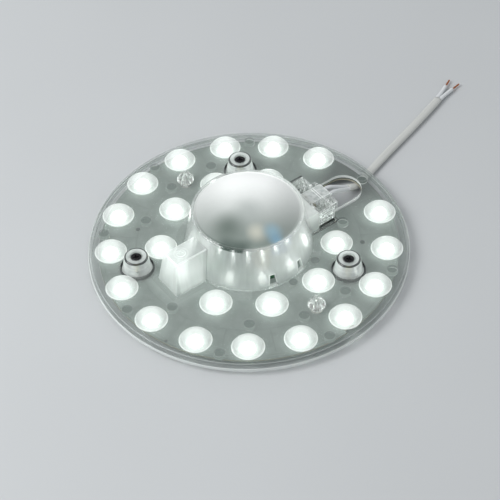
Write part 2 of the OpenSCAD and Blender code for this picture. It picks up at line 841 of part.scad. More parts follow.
module terminal_block() {
  inner_l = term_l - 2 * term_wall;
  bay_w = term_w / 2 - term_wall - bridge_half;
  tunnel_half = bridge_half - tunnel_wall;
  pocket_w = nose_w / 2 - term_wall - bridge_half - tunnel_wall;
  color([0.86, 0.93, 0.95, 0.5])
    translate([term_x, 0, board_z]) {
      difference() {
        union() {
          translate([0, -term_w / 2, 0]) cube([term_l, term_w, term_h]);
          translate([0, -nose_w / 2, 0]) cube([term_l + nose_l, nose_w, nose_h]);
          translate([0, -bridge_half, 0]) cube([term_l + nose_l, bridge_w, bridge_z]);
          translate([0, -bridge_half, bridge_z - eps]) cube([term_l + nose_l - 1, bridge_w, bridge_t + eps]);
        }
        // Open bays on both sides, the room under the bridge plate and the open top above it
        for (s = both_sides)
          translate([term_wall, s > 0 ? bridge_half : -bridge_half - bay_w, bay_floor])
            cube([inner_l, bay_w, term_h]);
        translate([term_wall, -bridge_half - eps, bay_floor])
          cube([inner_l, bridge_w + 2 * eps, bridge_z - bay_floor]);
        translate([term_wall, -bridge_half - eps, bridge_z + bridge_t])
          cube([term_l, bridge_w + 2 * eps, term_h]);
        // Tunnel for the cores through the nose, and its two mouths
        translate([term_l - term_wall - eps, -tunnel_half, bay_floor])
          cube([nose_l, 2 * tunnel_half, bridge_z - bay_floor]);
        for (s = both_sides)
          translate([term_l, s * wire_y, wire_z - board_z])
            rotate([0, 90, 0]) cylinder(d = wire_d + 2 * slide_fit, h = 2 * nose_l);
        // Open pockets beside the tunnel
        for (s = both_sides)
          translate([
            term_l + 0.6, s > 0 ? bridge_half + tunnel_wall : term_wall - nose_w / 2, nose_h - pocket_depth
          ])
            cube([nose_l - 1.6, pocket_w, nose_h]);
        // Hollow underside and the slits for the clamp strips
        translate([term_wall, -term_w / 2 + term_wall, -eps])
          cube([inner_l, term_w - 2 * term_wall, bay_floor - term_wall]);
        for (s = both_sides)
          translate([-eps, s * clamp_y - strip_w / 2 - slide_fit, bay_floor])
            cube([term_wall + 2 * eps, strip_w + 2 * slide_fit, strip_t + slide_fit]);
      }
      // Round pillar in each bay
      for (s = both_sides)
        translate([term_l / 2 + 1, s * (bridge_half + pillar_d), bay_floor - eps])
          cylinder(d = pillar_d, h = term_h - bay_floor - 1);
    }
}

// Spring cage that grips a core's bare end, with a strip that runs to the driver board
module terminal_clamp(side) {
  wall = 0.5;
  color([0.78, 0.75, 0.66])
    translate([0, side * clamp_y, driver_top]) {
      translate([strip_x, -strip_w / 2, 0]) cube([clamp_x - strip_x + clamp_l, strip_w, strip_t]);
      difference() {
        translate([clamp_x, -clamp_w / 2, 0]) cube([clamp_l, clamp_w, clamp_h]);
        translate([clamp_x - eps, -clamp_w / 2 + wall, strip_t])
          cube([clamp_l + 2 * eps, clamp_w - 2 * wall, clamp_h - strip_t - wall]);
      }
    }
}

module terminal_clamp_left() {
  terminal_clamp(1);
}

module terminal_clamp_right() {
  terminal_clamp(-1);
}

// Magnet feet

foot_bore_d = shank_d + 0.4;
head_room = 0.3;
head_seat = post_top - head_h - 0.6;

module magnet(place) {
  color([0.74, 0.75, 0.77])
    at(place)
      difference() {
        rotate_extrude()
          difference() {
            square([magnet_d / 2, magnet_h]);
            translate([magnet_d / 2 - 0.4, magnet_h - 0.4]) corner_waste(0.4);
          }
        translate([0, 0, -eps]) cylinder(d = shank_d + 2 * thread_fit, h = magnet_h + 2 * eps);
      }
}

module magnet_left() {
  magnet(left_foot);
}

module magnet_right() {
  magnet(right_foot);
}

module magnet_rear() {
  magnet(rear_foot);
}

// Clear post: spigot on the magnet, flange under the plate, drafted body, bore and head recess
module magnet_post(place) {
  color([0.86, 0.93, 0.95, 0.5])
    at(place)
      rotate_extrude()
        difference() {
          union() {
            rounded_outline([
              [0, magnet_h, 0], [post_r - 0.3, magnet_h, 0], [post_r - 0.3, board_top, 0],
              [post_r, plate_top, 0], [post_top_d / 2, post_top, 0.8], [0, post_top, 0]
            ]);
            translate([0, board_top]) square([post_flange_r, flange_t]);
          }
          square([foot_bore_d / 2, 2 * post_top]);
          translate([0, head_seat]) square([head_d / 2 + head_room, post_top]);
        }
}

module magnet_post_left() {
  magnet_post(left_foot);
}

module magnet_post_right() {
  magnet_post(right_foot);
}

module magnet_post_rear() {
  magnet_post(rear_foot);
}

module foot_screws() {
  shank_l = head_seat - 1;
  color([0.08, 0.08, 0.09])
    for (p = feet)
      at(p, head_seat) rotate([180, 0, 0]) screw(head_d, head_h, shank_d, shank_l);
}

// Split snap clips that hold the plate to the board

clip_head_t = 0.9;
clip_slot_w = 1;
clip_bore_d = 2.6;

module board_clips() {
  crown_low = plate_top + clip_barb_h;
  crown_top = plate_top + clip_crown_h;
  stem_r = clip_stem_d / 2;
  crown_r = clip_crown_d / 2;
  color([0.86, 0.93, 0.95, 0.5])
    for (p = clip_places)
      at(p)
        difference() {
          rotate_extrude()
            polygon([
              [0, board_z - clip_head_t], [clip_head_d / 2, board_z - clip_head_t],
              [clip_head_d / 2, board_z],
              [stem_r, board_z], [stem_r, plate_top], [crown_r, crown_low],
              [crown_r, crown_low + clip_barb_h], [stem_r - clip_taper, crown_top], [0, crown_top]
            ]);
          translate([0, 0, board_top]) cylinder(d = clip_bore_d, h = crown_top);
          for (a = [0, 60, 120])
            rotate(a)
              translate([-clip_crown_d, -clip_slot_w / 2, plate_z])
                cube([2 * clip_crown_d, clip_slot_w, crown_top]);
        }
}

// Supply cord: tubes swept along hand-placed routes

// Ring of points round a route's point, an ellipse that is w wide and t thick
function ring(route, i, w, t, sides) =
  let(
    d = tangent(route, i),
    across = unit(cross([0, 0, 1], d)),
    up = cross(d, across)
  )
  [for (k = [0 : sides - 1])
    let(a = 360 * (k + 0.5) / sides)
    route[i] + across * (w / 2 * cos(a)) + up * (t / 2 * sin(a))];

module tube(route, w, t, sides) {
  n = len(route);
  points = [for (i = [0 : n - 1]) each ring(route, i, w, t, sides)];
  sides_faces = [
    for (i = [0 : n - 2], k = [0 : sides - 1])
      let(a = i * sides + k, b = i * sides + (k + 1) % sides)
      each [[a, a + sides, b], [b, a + sides, b + sides]]
  ];
  first = [for (k = [0 : sides - 1]) k];
  last = [for (k = [sides - 1 : -1 : 0]) (n - 1) * sides + k];
  polyhedron(points = points, faces = concat(sides_faces, [first, last]));
}

core_in_x = clamp_x + clamp_l + 0.3;
core_pitch = wire_d + 0.04;
core_bend = term_end - term_wall - core_in_x;
sheath_start = sheath_route[0];
start_dir = tangent(sheath_route, 0);
start_side = unit(cross([0, 0, 1], start_dir));
sheath_end = sheath_route[len(sheath_route) - 1];
end_dir = tangent(sheath_route, len(sheath_route) - 1);
end_side = unit(cross([0, 0, 1], end_dir));

// Core from its clamp through the tunnel and down the slot to the sheath
function core_bent(side, along, over) =
  [core_in_x + along * core_bend, side * (clamp_y + over * (wire_y - clamp_y)), wire_z];
function core_mouth(side) = [nose_end + 1, side * wire_y, wire_z];
function core_joint(side) = sheath_start - 2 * start_dir + side * core_pitch / 2 * start_side;
function core_drop(side, along, down) =
  let(a = core_mouth(side), b = core_joint(side))
  [a[0] + along * (b[0] - a[0]), a[1] + down * (b[1] - a[1]), a[2] + down * (b[2] - a[2])];
function core_route(side) = [
  core_bent(side, 0, 0), core_bent(side, 0.18, 0), core_bent(side, 0.47, 0.16), core_bent(side, 0.74, 0.5),
  core_bent(side, 1, 0.86), core_bent(side, 1.35, 1), [nose_end - 2, side * wire_y, wire_z],
  core_mouth(side), core_drop(side, 0.25, 0.12), core_drop(side, 0.54, 0.44), core_drop(side, 0.83, 0.81),
  core_joint(side), sheath_start + side * core_pitch / 2 * start_side
];

// Core of the free end, a little spread and drooping, and the bare end that follows it
function end_point(side, along, spread, droop) =
  sheath_end + along * end_dir + side * (core_pitch / 2 + spread) * end_side - [0, 0, droop];
function end_core_route(side) = [
  end_point(side, 0, 0, 0), end_point(side, 3, 0, 0), end_point(side, 8, 0.5, 0.2),
  end_point(side, 12, 1.1, 0.3)
];
function end_tip_route(side) =
  let(route = end_core_route(side), n = len(route) - 1)
  [for (along = [0, 3, 6]) route[n] + along * tangent(route, n)];

module cord_sheath() {
  color([0.86, 0.86, 0.84]) tube(sheath_route, cord_w, cord_t, 12);
}

module core_left() {
  color([0.88, 0.88, 0.87]) tube(core_route(1), wire_d, wire_d, 8);
}

module core_right() {
  color([0.88, 0.88, 0.87]) tube(core_route(-1), wire_d, wire_d, 8);
}

module core_tips() {
  color([0.8, 0.48, 0.26])
    for (s = both_sides)
      translate([clamp_x + 0.4, s * clamp_y, wire_z])
        rotate([0, 90, 0]) cylinder(d = tip_d, h = core_in_x - clamp_x - 0.4);
}

module end_cores() {
  color([0.88, 0.88, 0.87])
    for (s = both_sides) tube(end_core_route(s), wire_d, wire_d, 8);
}

module end_tips() {
  color([0.8, 0.48, 0.26])
    for (s = both_sides) tube(end_tip_route(s), tip_d, tip_d, 8);
}

lens_plate();
led_board();
leds();
driver_cover();
driver_base();
cover_screw();
driver_board();
bulk_capacitor();
film_capacitor();
varistor();
transformer_core();
transformer_coil();
filter_choke();
bridge_rectifier();
controller_chip();
fuse_resistor();
output_pins();
terminal_block();
terminal_clamp_left();
terminal_clamp_right();
magnet_left();
magnet_right();
magnet_rear();
magnet_post_left();
magnet_post_right();
magnet_post_rear();
foot_screws();
board_clips();
cord_sheath();
core_left();
core_right();
core_tips();
end_cores();
end_tips();
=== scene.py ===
# %% [markdown]
# # Magnetic LED module
# This lesson dresses a CAD model of a round LED module, the kind that refits an old ceiling lamp.
# The CAD solids are the frame: they stay where they are, and every piece made here is placed by
# the same coordinates. Blender adds the finishes, the cord and the small repeated details.

# %% Load the frame
import math
from functools import partialmethod, reduce

import bpy
from mathutils import Matrix, Vector


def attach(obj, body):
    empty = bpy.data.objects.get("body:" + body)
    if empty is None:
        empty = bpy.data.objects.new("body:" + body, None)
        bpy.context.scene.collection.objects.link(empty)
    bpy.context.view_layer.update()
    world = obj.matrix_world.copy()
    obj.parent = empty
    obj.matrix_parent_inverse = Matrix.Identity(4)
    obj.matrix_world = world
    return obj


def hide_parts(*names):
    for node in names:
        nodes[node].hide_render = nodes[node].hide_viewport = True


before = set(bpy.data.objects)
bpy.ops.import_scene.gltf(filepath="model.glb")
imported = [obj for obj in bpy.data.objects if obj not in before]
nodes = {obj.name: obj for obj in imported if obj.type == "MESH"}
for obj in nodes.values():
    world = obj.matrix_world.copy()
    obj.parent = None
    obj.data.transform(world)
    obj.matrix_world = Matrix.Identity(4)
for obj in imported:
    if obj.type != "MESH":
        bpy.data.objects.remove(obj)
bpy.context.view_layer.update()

MM = 0.001

# %% [markdown]
# ## Camera
# The camera comes first, because every later choice is judged through it. It looks down on the
# module from the front left, 47 degrees above the table, through a long lens. The numbers come
# from fitting the round plate and its ring of lenses to the view, so the camera is set by its
# axes and its place and not by a look-at target.

# %% Camera
def new_object(name, data):
    """Object in the scene that carries the data."""
    made = bpy.data.objects.new(name, data)
    bpy.context.collection.objects.link(made)
    return made


camera_data = bpy.data.cameras.new("camera")
camera_data.sensor_width = 36
camera_data.lens = 118.3
camera = new_object("camera", camera_data)
camera_right = Vector((0.799798, -0.599852, -0.022397))
camera_up = Vector((0.450200, 0.574749, 0.683362))
camera_back = Vector((-0.397043, -0.556634, 0.729736))
camera_place = Vector((-0.335970, -0.471872, 0.618014))
camera_turn = Matrix((camera_right, camera_up, camera_back)).transposed().to_4x4()
camera.matrix_world = Matrix.Translation(camera_place) @ camera_turn
bpy.context.scene.camera = camera
bpy.context.scene.view_settings.view_transform = "Standard"
print("camera", round(camera.location.length, 3), "m from the module")

# %% [markdown]
# ## Supply cord
# The lead is a flat two-core cord. It starts where its sheath is stripped back in the slot, drops
# under the board and lies on the table. A curve with a bevel would make a round tube; here rings
# of points are swept along a smooth route, so that the sheath can be oval and the same function
# also makes the round cores. The route repeats the CAD route's points, in millimetres.

# %% Smooth routes and swept tubes
def smooth(points, steps=6):
    """Curve through all the points, as a list of vectors in metres."""
    p = [Vector(q) * MM for q in points]
    p = [2 * p[0] - p[1], *p, 2 * p[-1] - p[-2]]
    route = []
    for a, b, c, d in zip(p, p[1:], p[2:], p[3:]):
        for k in range(steps):
            t = k / steps
            square, cube = (2 * a - 5 * b + 4 * c - d) * t**2, (3 * b - a - 3 * c + d) * t**3
            route.append(0.5 * (2 * b + (c - a) * t + square + cube))
    return route + [p[-2]]


def new_piece(name, verts, faces, uvs=None):
    """Mesh object at the origin; its four-sided faces are shaded smooth."""
    mesh = bpy.data.meshes.new(name)
    mesh.from_pydata(verts, [], faces)
    mesh.polygons.foreach_set("use_smooth", [len(f) == 4 for f in faces])
    if uvs:
        layer = mesh.uv_layers.new(name="along")
        for loop in mesh.loops:
            layer.data[loop.index].uv = uvs[loop.vertex_index]
    mesh.update()
    return new_object(name, mesh)


def swept_rings(route, width, thickness, sides, waist=0.0):
    """Rings of points round a route; a waist pulls the middle of the flat sides in."""
    verts, uvs, run = [], [], 0.0
    for i, at in enumerate(route):
        ahead = (route[min(i + 1, len(route) - 1)] - route[max(i - 1, 0)]).normalized()
        across = Vector((0, 0, 1)).cross(ahead).normalized()
        up = ahead.cross(across)
        run += (at - route[i - 1]).length if i else 0
        for k in range(sides):
            a = 2 * math.pi * (k + 0.5) / sides
            pull = 1 - waist * math.exp(-((math.cos(a) / 0.3) ** 2))
            aside, above = width / 2 * math.cos(a), thickness / 2 * math.sin(a) * pull
            verts.append(at + across * aside + up * above)
            uvs.append((run, k / sides))
    return verts, uvs


def swept_tube(name, routes, width, thickness, sides, waist=0.0):
    """One piece with a closed tube along each route."""
    verts, faces, uvs = [], [], []
    for route in routes:
        start = len(verts)
        ring, ring_uvs = swept_rings(route, width * MM, thickness * MM, sides, waist)
        verts += ring
        uvs += ring_uvs
        for i in range(len(route) - 1):
            for k in range(sides):
                a, b = start + i * sides + k, start + i * sides + (k + 1) % sides
                faces.append((a, b, b + sides, a + sides))
        faces.append([start + k for k in reversed(range(sides))])
        faces.append([len(verts) - sides + k for k in range(sides)])
    return new_piece(name, verts, faces, uvs)


print("sweeps ready")

# %% Sheath, cores and their routes
cord_width, cord_thickness, core_diameter = 4.6, 2.9, 2.2
core_offset, clamp_offset, core_height = 1.12, 3.2, 10.8
sheath_points = [(66, 0.5, 4.2), (69, 0.6, 2.85), (72, 1, 1.55)] + [
    (x, y, 1.5)
    for x, y in zip(
        (76, 82, 88, 96, 104, 112, 120, 128, 136, 144, 152),
        (2, 3.8, 5.8, 8.4, 10.9, 13.3, 15.7, 18.1, 20.6, 23.2, 25.9),
    )
]
sheath_route = smooth(sheath_points)
sheath = swept_tube("cord_sheath_oval", [sheath_route], cord_width, cord_thickness, 32, waist=0.06)
sheath_length = sum((b - a).length for a, b in zip(sheath_route, sheath_route[1:]))


def end_axes(points, i, j):
    """Direction from one point to another and the level direction across it."""
    ahead = (Vector(points[j]) - Vector(points[i])).normalized()
    return ahead, Vector((0, 0, 1)).cross(ahead).normalized()


def core_points(side):
    """From the clamp through the tunnel of the terminal block and down to the sheath."""
    ahead, across = end_axes(sheath_points, 0, 1)
    half = side * core_offset
    mouth = Vector((52, side * 2.2, core_height))
    joint = Vector(sheath_points[0]) - 2 * ahead + half * across
    bend = [(0, 0), (0.18, 0), (0.47, 0.16), (0.74, 0.5), (1, 0.86), (1.35, 1)]
    points = [(40.4 + 3.4 * along, side * (clamp_offset - over), core_height) for along, over in bend]
    points += [(49, side * 2.2, core_height), mouth]
    for along, down in ((0.25, 0.12), (0.54, 0.44), (0.83, 0.81)):
        step = joint - mouth
        points.append(mouth + Vector((along * step.x, down * step.y, down * step.z)))
    return points + [joint, Vector(sheath_points[0]) + half * across]


def free_end_points(side):
    """The stripped end: the cores part a little and droop to the table."""
    ahead, across = end_axes(sheath_points, -2, -1)
    end = Vector(sheath_points[-1])
    return [
        end + along * ahead + side * (core_offset + spread) * across - Vector((0, 0, droop))
        for along, spread, droop in ((0, 0, 0), (3, 0, 0), (8, 0.5, 0.2), (12, 1.1, 0.3))
    ]


cores = {
    name: swept_tube(f"{name}_insulation", [smooth(core_points(side), 5)], core_diameter, core_diameter, 20)
    for name, side in (("core_left", 1), ("core_right", -1))
}
end_routes = [smooth(free_end_points(side), 6) for side in (1, -1)]
end_cores = swept_tube("end_core_insulation", end_routes, core_diameter, core_diameter, 20)
print("sheath", round(sheath_length / MM, 1), "mm long")

# %% [markdown]
# ## One class for node sums
# Materials and geometry trees are both node trees. A small class wraps a socket, so that sums on
# masks read like ordinary Python, and one method adds any other node. That keeps each finish to a
# few lines that say what the surface does.

# %% Socket class
class Tone:
    """A socket of a node tree that takes part in Python sums."""

    def __init__(self, tree, socket=None):
        self.tree, self.socket = tree, socket

    def node(self, kind, settings=None, out=0, **inputs):
        """Adds a node: its settings first, then values or links by socket number or name."""
        made = self.tree.nodes.new(kind)
        for key, value in (settings or {}).items():
            setattr(made, key, value)
        for key, value in inputs.items():
            socket = made.inputs[int(key[1:]) if key[0] == "_" else key.replace("_", " ")]
            if isinstance(value, Tone):
                self.tree.links.new(value.socket, socket)
            else:
                socket.default_value = value
        return Tone(self.tree, made.outputs[out])

    def sum(self, operation, *others):
        """This socket and others in one Math node."""
        terms = {f"_{i}": t for i, t in enumerate((self, *others))}
        return self.node("ShaderNodeMath", {"operation": operation}, **terms)

    __add__ = __radd__ = partialmethod(sum, "ADD")
    __sub__ = partialmethod(sum, "SUBTRACT")
    __mul__ = __rmul__ = partialmethod(sum, "MULTIPLY")
    __truediv__ = partialmethod(sum, "DIVIDE")
    __abs__ = partialmethod(sum, "ABSOLUTE")
    least = partialmethod(sum, "MINIMUM")
    most = partialmethod(sum, "MAXIMUM")

    def __rsub__(self, other):
        return self.node("ShaderNodeMath", {"operation": "SUBTRACT"}, _0=other, _1=self)

    def ease(self, low, high):
        """0 below low, 1 above high and smooth between; the ends may also run downwards."""
        return self.node(
            "ShaderNodeMapRange",
            {"interpolation_type": "SMOOTHSTEP"},
            _0=self, _1=min(low, high), _2=max(low, high), _3=float(low > high), _4=float(low <= high),
        )

    def blend(self, low, high):
        """Colour that runs from low to high with this mask."""
        low, high = ((*c, 1) if isinstance(c, tuple) else c for c in (low, high))
        return self.node("ShaderNodeMix", {"data_type": "RGBA"}, 2, _0=self, _6=low, _7=high)


def nearest(distances):
    """The least of several distances."""
    return reduce(lambda a, b: a.least(b), distances)


print("socket class ready")

# %% [markdown]
# ## Finishes
# Every finish starts from one Principled shader and the object's own coordinates in millimetres.
# Colours are written as they look on a screen and turned into light values once, in one place.

# %% Finish helpers
def shade(red, green, blue):
    """Display colour, 0 to 255, as linear light."""
    parts = [c / 255 for c in (red, green, blue)]
    return tuple(c / 12.92 if c < 0.04045 else ((c + 0.055) / 1.055) ** 2.4 for c in parts)


class Finish:
    """A material with a Principled shader, its place in millimetres, and x, y and z of that."""

    def __init__(self, name, **constants):
        self.material = bpy.data.materials.new(name)
        self.material.use_nodes = True
        self.tree = self.material.node_tree
        self.shader = self.tree.nodes["Principled BSDF"]
        for key, value in constants.items():
            self.set(key, value)
        self.node = Tone(self.tree).node
        spot = self.node("ShaderNodeTexCoord", out=3)
        self.place = self.node("ShaderNodeVectorMath", {"operation": "SCALE"}, _0=spot, Scale=1000.0)
        parts = [self.node("ShaderNodeSeparateXYZ", out=i, _0=self.place) for i in range(3)]
        self.x, self.y, self.z = parts

    def set(self, key, value):
        socket = self.shader.inputs[key.replace("_", " ")]
        if isinstance(value, Tone):
            self.tree.links.new(value.socket, socket)
        else:
            socket.default_value = (*value, 1) if isinstance(value, tuple) else value

    def noise(self, size, detail=2.0, stretch=(1, 1, 1)):
        """Cloudy pattern, 0 to 1, whose patches are about size millimetres wide."""
        at = self.node("ShaderNodeMapping", _0=self.place, Scale=stretch)
        return self.node("ShaderNodeTexNoise", _0=at, Scale=1.0 / size, Detail=detail)

    def bump(self, height, depth):
        """Relief of the given depth in millimetres."""
        relief = self.node("ShaderNodeBump", Height=height, Distance=depth * MM)
        self.set("Normal", relief)
        return relief

    def facing(self):
        """How far the surface looks up: 1 up, 0 level, -1 down, in the part's frame."""
        normal = self.node("ShaderNodeTexCoord", out=1)
        return self.node("ShaderNodeSeparateXYZ", out=2, _0=normal)

    def outline(self, power=4.0):
        """Gloss that grows towards the outline: 0 seen head-on, 1 seen edge-on."""
        turned = self.node("ShaderNodeLayerWeight", out=1, Blend=0.5)
        return turned.sum("POWER", power)

    def gloss(self, roughness, relief, least=0.04):
        """Mirror-like skin, also where the body is see-through; least is its share seen head-on."""
        shine = self.node("ShaderNodeBsdfGlossy", Roughness=roughness, Normal=relief)
        amount = least + self.outline(5.0) * 0.9
        body = Tone(self.tree, self.shader.outputs[0])
        skin = self.node("ShaderNodeMixShader", _0=amount, _1=body, _2=shine)
        self.tree.links.new(skin.socket, self.tree.nodes["Material Output"].inputs[0])

    def disc(self, x=0, y=0):
        """Distance in plan from a point, in millimetres."""
        dx, dy = self.x - x, self.y - y
        return (dx * dx + dy * dy).sum("SQRT")


def dress(finish, *names):
    """Gives CAD nodes or pieces their finish."""
    for name in names:
        thing = nodes[name] if isinstance(name, str) else name
        if not thing.data.materials:
            thing.data.materials.append(finish.material)
        for slot in thing.material_slots:
            slot.material = finish.material
        print(finish.material.name, "on", thing.name)


def painted(colour, *layers):
    """Ground colour with masks painted over it, each in its own colour."""
    for mask, paint in layers:
        colour = mask.blend(colour, paint)
    return colour


def moulded(name, colour, roughness=0.4, patch=6.0, change=0.06, grain=0.25):
    """Moulded plastic, lacquer or sleeve: slight clouds of tone, gloss that varies, fine grain."""
    finish = Finish(name)
    cloud = finish.noise(patch)
    dark = tuple(c * (1 - change) for c in colour)
    light = tuple(min(1, c * (1 + change)) for c in colour)
    finish.set("Base Color", cloud.ease(0.3, 0.7).blend(dark, light))
    finish.set("Roughness", roughness + (cloud - 0.5) * 0.12)
    finish.bump(finish.noise(grain, 1.0), 0.01)
    return finish


print("finish helpers ready")

# %% [markdown]
# ## Where the lenses are
# The plate has a dome over every LED: sixteen on an outer ring, where a seventeenth place is left
# free for the cord, and eight on an inner ring. A list of 24 places would work, but the rule of the
# two rings is shorter: the angle is wrapped to one step, so a single formula finds the nearest lens.

# %% Distance to the nearest lens
outer_step = 2 * math.pi / 17
lens_radius, outer_ring, inner_ring = 8.4, 70.7, 45.0
inner_first, inner_step = math.radians(40), math.radians(36)


def lens_distance(finish):
    """Distance in plan to the nearest lens axis, in lens radii; large at the places left free."""
    around = finish.y.sum("ARCTAN2", finish.x)
    reach = finish.disc()
    away = []
    for radius, angle, step in (
        (outer_ring, around, outer_step),
        (inner_ring, abs(around) - inner_first, inner_step),
    ):
        turn = angle.sum("WRAP", step / 2, -step / 2)
        dx, dy = reach * turn.sum("COSINE") - radius, reach * turn.sum("SINE")
        away.append((dx * dx + dy * dy).sum("SQRT"))
    free = nearest(finish.disc(x) for x in (outer_ring, inner_ring, -inner_ring))
    return nearest(away) / lens_radius + free.ease(12.2, 11.6) * 9


print("two lens rings,", outer_ring, "and", inner_ring, "mm")

# %% [markdown]
# ## Lens plate
# The plate is one clear moulding. Under each dome a round hollow stands over the LED; the module is lit, so
# the hollow glows white through the dome. Light from inside is made by emission on the hollow's own face,
# because a refracting dome over a tiny LED would need very many samples. The dome's paler body, its faint
# rings, the thin bright line at its rim and small sparkles are painted light as well, emission on the dome
# itself, and the dome's colour darkens towards its rim.

# %% Lens glow
board_top, plate_top = 4.2, 6.7
lens_glow = 6.0
led_white = shade(250, 255, 252)
plate = Finish("lens_clear", Roughness=0.05, IOR=1.49, Emission_Strength=lens_glow)
from_axis = lens_distance(plate)
hollow = from_axis.ease(0.45, 0.43) * plate.z.ease(9.8, 9.4)
dome = plate.z.ease(plate_top + 0.02, plate_top + 0.25) * (1 - hollow)


def lens_line(radius, half_width):
    """Soft ring round every lens axis, 1 on its line."""
    return abs(from_axis - radius).ease(half_width, 0.0)


led_image = hollow * (0.8 + plate.z.ease(5.2, 8.5) * 0.2)
# Painted light on the dome: a glowing body, a bright line near the rim with a darker ring inside it, and
# sparkles near the edge.
body = 0.095 + from_axis.ease(1.0, 0.9) * 0.035 + from_axis.ease(0.75, 0.3) * 0.065
rings = lens_line(0.96, 0.05) * 0.03 - lens_line(0.84, 0.07) * 0.02
sparkle = plate.noise(0.9, 1.0).ease(0.5, 0.7) * from_axis.ease(0.6, 0.75) * 0.02
glow = led_image + dome * (body + rings + sparkle)
dome_white = from_axis.ease(0.5, 0.95).blend(shade(158, 166, 163), shade(134, 143, 140))
print("lens glow painted by rule")

# %% [markdown]
# ### Pads
# Small round pads under the plate stand on the board and keep it at its distance. They show as darker discs
# with a pale line round them. All but one stand on the X axis or in pairs to both sides of it, so the
# distance is measured with y counted as positive. A pad's foot and the board meet in one plane, so both are
# painted black there with the same even glow of painted light, dimmer beside the cord. Two smaller marks by
# the cover are only painted.

# %% Pads
outer_pads = [(75.2, k * outer_step) for k in (2.5, 4.5, 6.5)] + [(75.2, 0), (75.2, math.pi)]
mid_pads = [(59.5, 73), (57.5, 98.5), (55.8, 126.5), (50.5, 21.5)]
pad_spots = outer_pads + [(r, math.radians(a)) for r, a in mid_pads]
lone_pad = (-56.65, -12.45)


def pad_distance(finish):
    """Distance in plan to the middle of the nearest pad, in millimetres."""
    aside = abs(finish.y)
    away = [finish.disc(*lone_pad)]
    for r, a in pad_spots:
        dx, dy = finish.x - r * math.cos(a), aside - r * math.sin(a)
        away.append((dx * dx + dy * dy).sum("SQRT"))
    return nearest(away)


dim_spot = (74.0, 6.0)


def by_cord(finish):
    """1 beside the cord, where no lens stands and the board is dim, and 0 further off."""
    return finish.disc(*dim_spot).ease(28.0, 10.0)


def pad_light(finish, strength):
    """Painted light on the pads' feet, an even glow dimmer beside the cord, for the given emission strength.
    """
    tones = shade(126, 137, 132), shade(86, 94, 90)
    lit, dim = (tuple(c / strength for c in tone) for tone in tones)
    return by_cord(finish).blend(lit, dim)


from_pad = pad_distance(plate)
top_face = plate.z.ease(plate_top - 0.2, plate_top - 0.1) * plate.z.ease(plate_top + 0.25, plate_top + 0.02)
pad = from_pad.ease(2.95, 2.75) * top_face
pad_line = from_pad.ease(2.5, 2.7) * pad
painted_marks = (18.3, -31.6), (0.6, -36.4)
from_mark = nearest(plate.disc(x, y) for x, y in painted_marks)
pad = pad.most(from_mark.ease(2.4, 2.1) * top_face)
pad_foot = from_pad.ease(3.1, 3.0) * plate.z.ease(board_top + 0.2, board_top + 0.1)
print(len(pad_spots), "pad spots")

# %% [markdown]
# ### Edges of the plate
# Clear plastic shows its edges most: light that runs inside the sheet leaves it there. This light and shade
# are painted: the wall of each foot hole looks dark with painted shade, the cut round the cover and the slot
# looks bright with painted light, and the outer rim carries two bright lines, painted highlights. Masks of
# place and of the way a face looks pick these faces out.

# %% Edge masks
foot_places = [(28.57, 45.73), (28.57, -45.73), (-54.80, 21.23)]
hole_radius = 8.3


def foot_distance(finish):
    """Distance in plan to the axis of the nearest foot, in millimetres."""
    return nearest(finish.disc(x, y) for x, y in foot_places)


reach = plate.disc()
from_foot = foot_distance(plate)
upright = abs(plate.facing()).ease(0.5, 0.2) * plate.z.ease(plate_top + 0.05, plate_top - 0.05)
hole_wall_shade = upright * from_foot.ease(hole_radius + 0.3, hole_radius + 0.1)
lit_cut_edge = upright * from_foot.ease(hole_radius + 0.1, hole_radius + 0.3) * reach.ease(79.0, 78.0)
rim = reach.ease(77.2, 77.6)
rim_highlight = (reach.ease(80.9, 81.2) * plate.z.ease(6.2, 6.4) * 0.5).most(reach.ease(82.0, 82.3))
print(len(foot_places), "foot holes and the plate's edges masked")

# %% Plate finish
haze = plate.noise(14.0).ease(0.3, 0.7)
clear = painted(
    haze.blend(shade(208, 217, 213), shade(222, 230, 226)),
    (rim, shade(150, 161, 156)), (rim_highlight, shade(240, 246, 243)),
    (pad, shade(116, 126, 122)), (pad_line, shade(196, 205, 201)),
    (hole_wall_shade, shade(48, 54, 52)), (lit_cut_edge, shade(232, 238, 235)),
    (pad_foot, (0, 0, 0)), (dome, dome_white),
)
plate.set("Base Color", clear)
lit_slot_edge = lit_cut_edge * plate.x.ease(44.0, 47.0)
plate_light = (glow + lit_slot_edge * 0.05).blend((0, 0, 0), led_white)
plate.set("Emission Color", pad_foot.blend(plate_light, pad_light(plate, lens_glow)))
plate_see = 0.08 + plate.outline() * 0.5 + pad * 0.3 + hole_wall_shade * 0.7
plate_see = plate_see + lit_cut_edge * 0.1 + lit_slot_edge * 0.3 + rim * 0.14 + rim_highlight * 0.4
dome_see = dome * (0.5 + lens_line(0.96, 0.06) * 0.25) + hollow * 0.9
plate.set("Alpha", dome_see.most(plate_see).most(pad_foot).least(1.0))
dress(plate, "lens_plate")

# %% [markdown]
# ## Driver cover
# The cover is frosted on its domed cap, which blurs what stands under it: the capacitor's dark
# green, the transformer's grey, a beige film capacitor and a blue disc show only as soft fields of
# colour. Real blur through a rough wall is noisy, so the fields are painted where those pieces are.

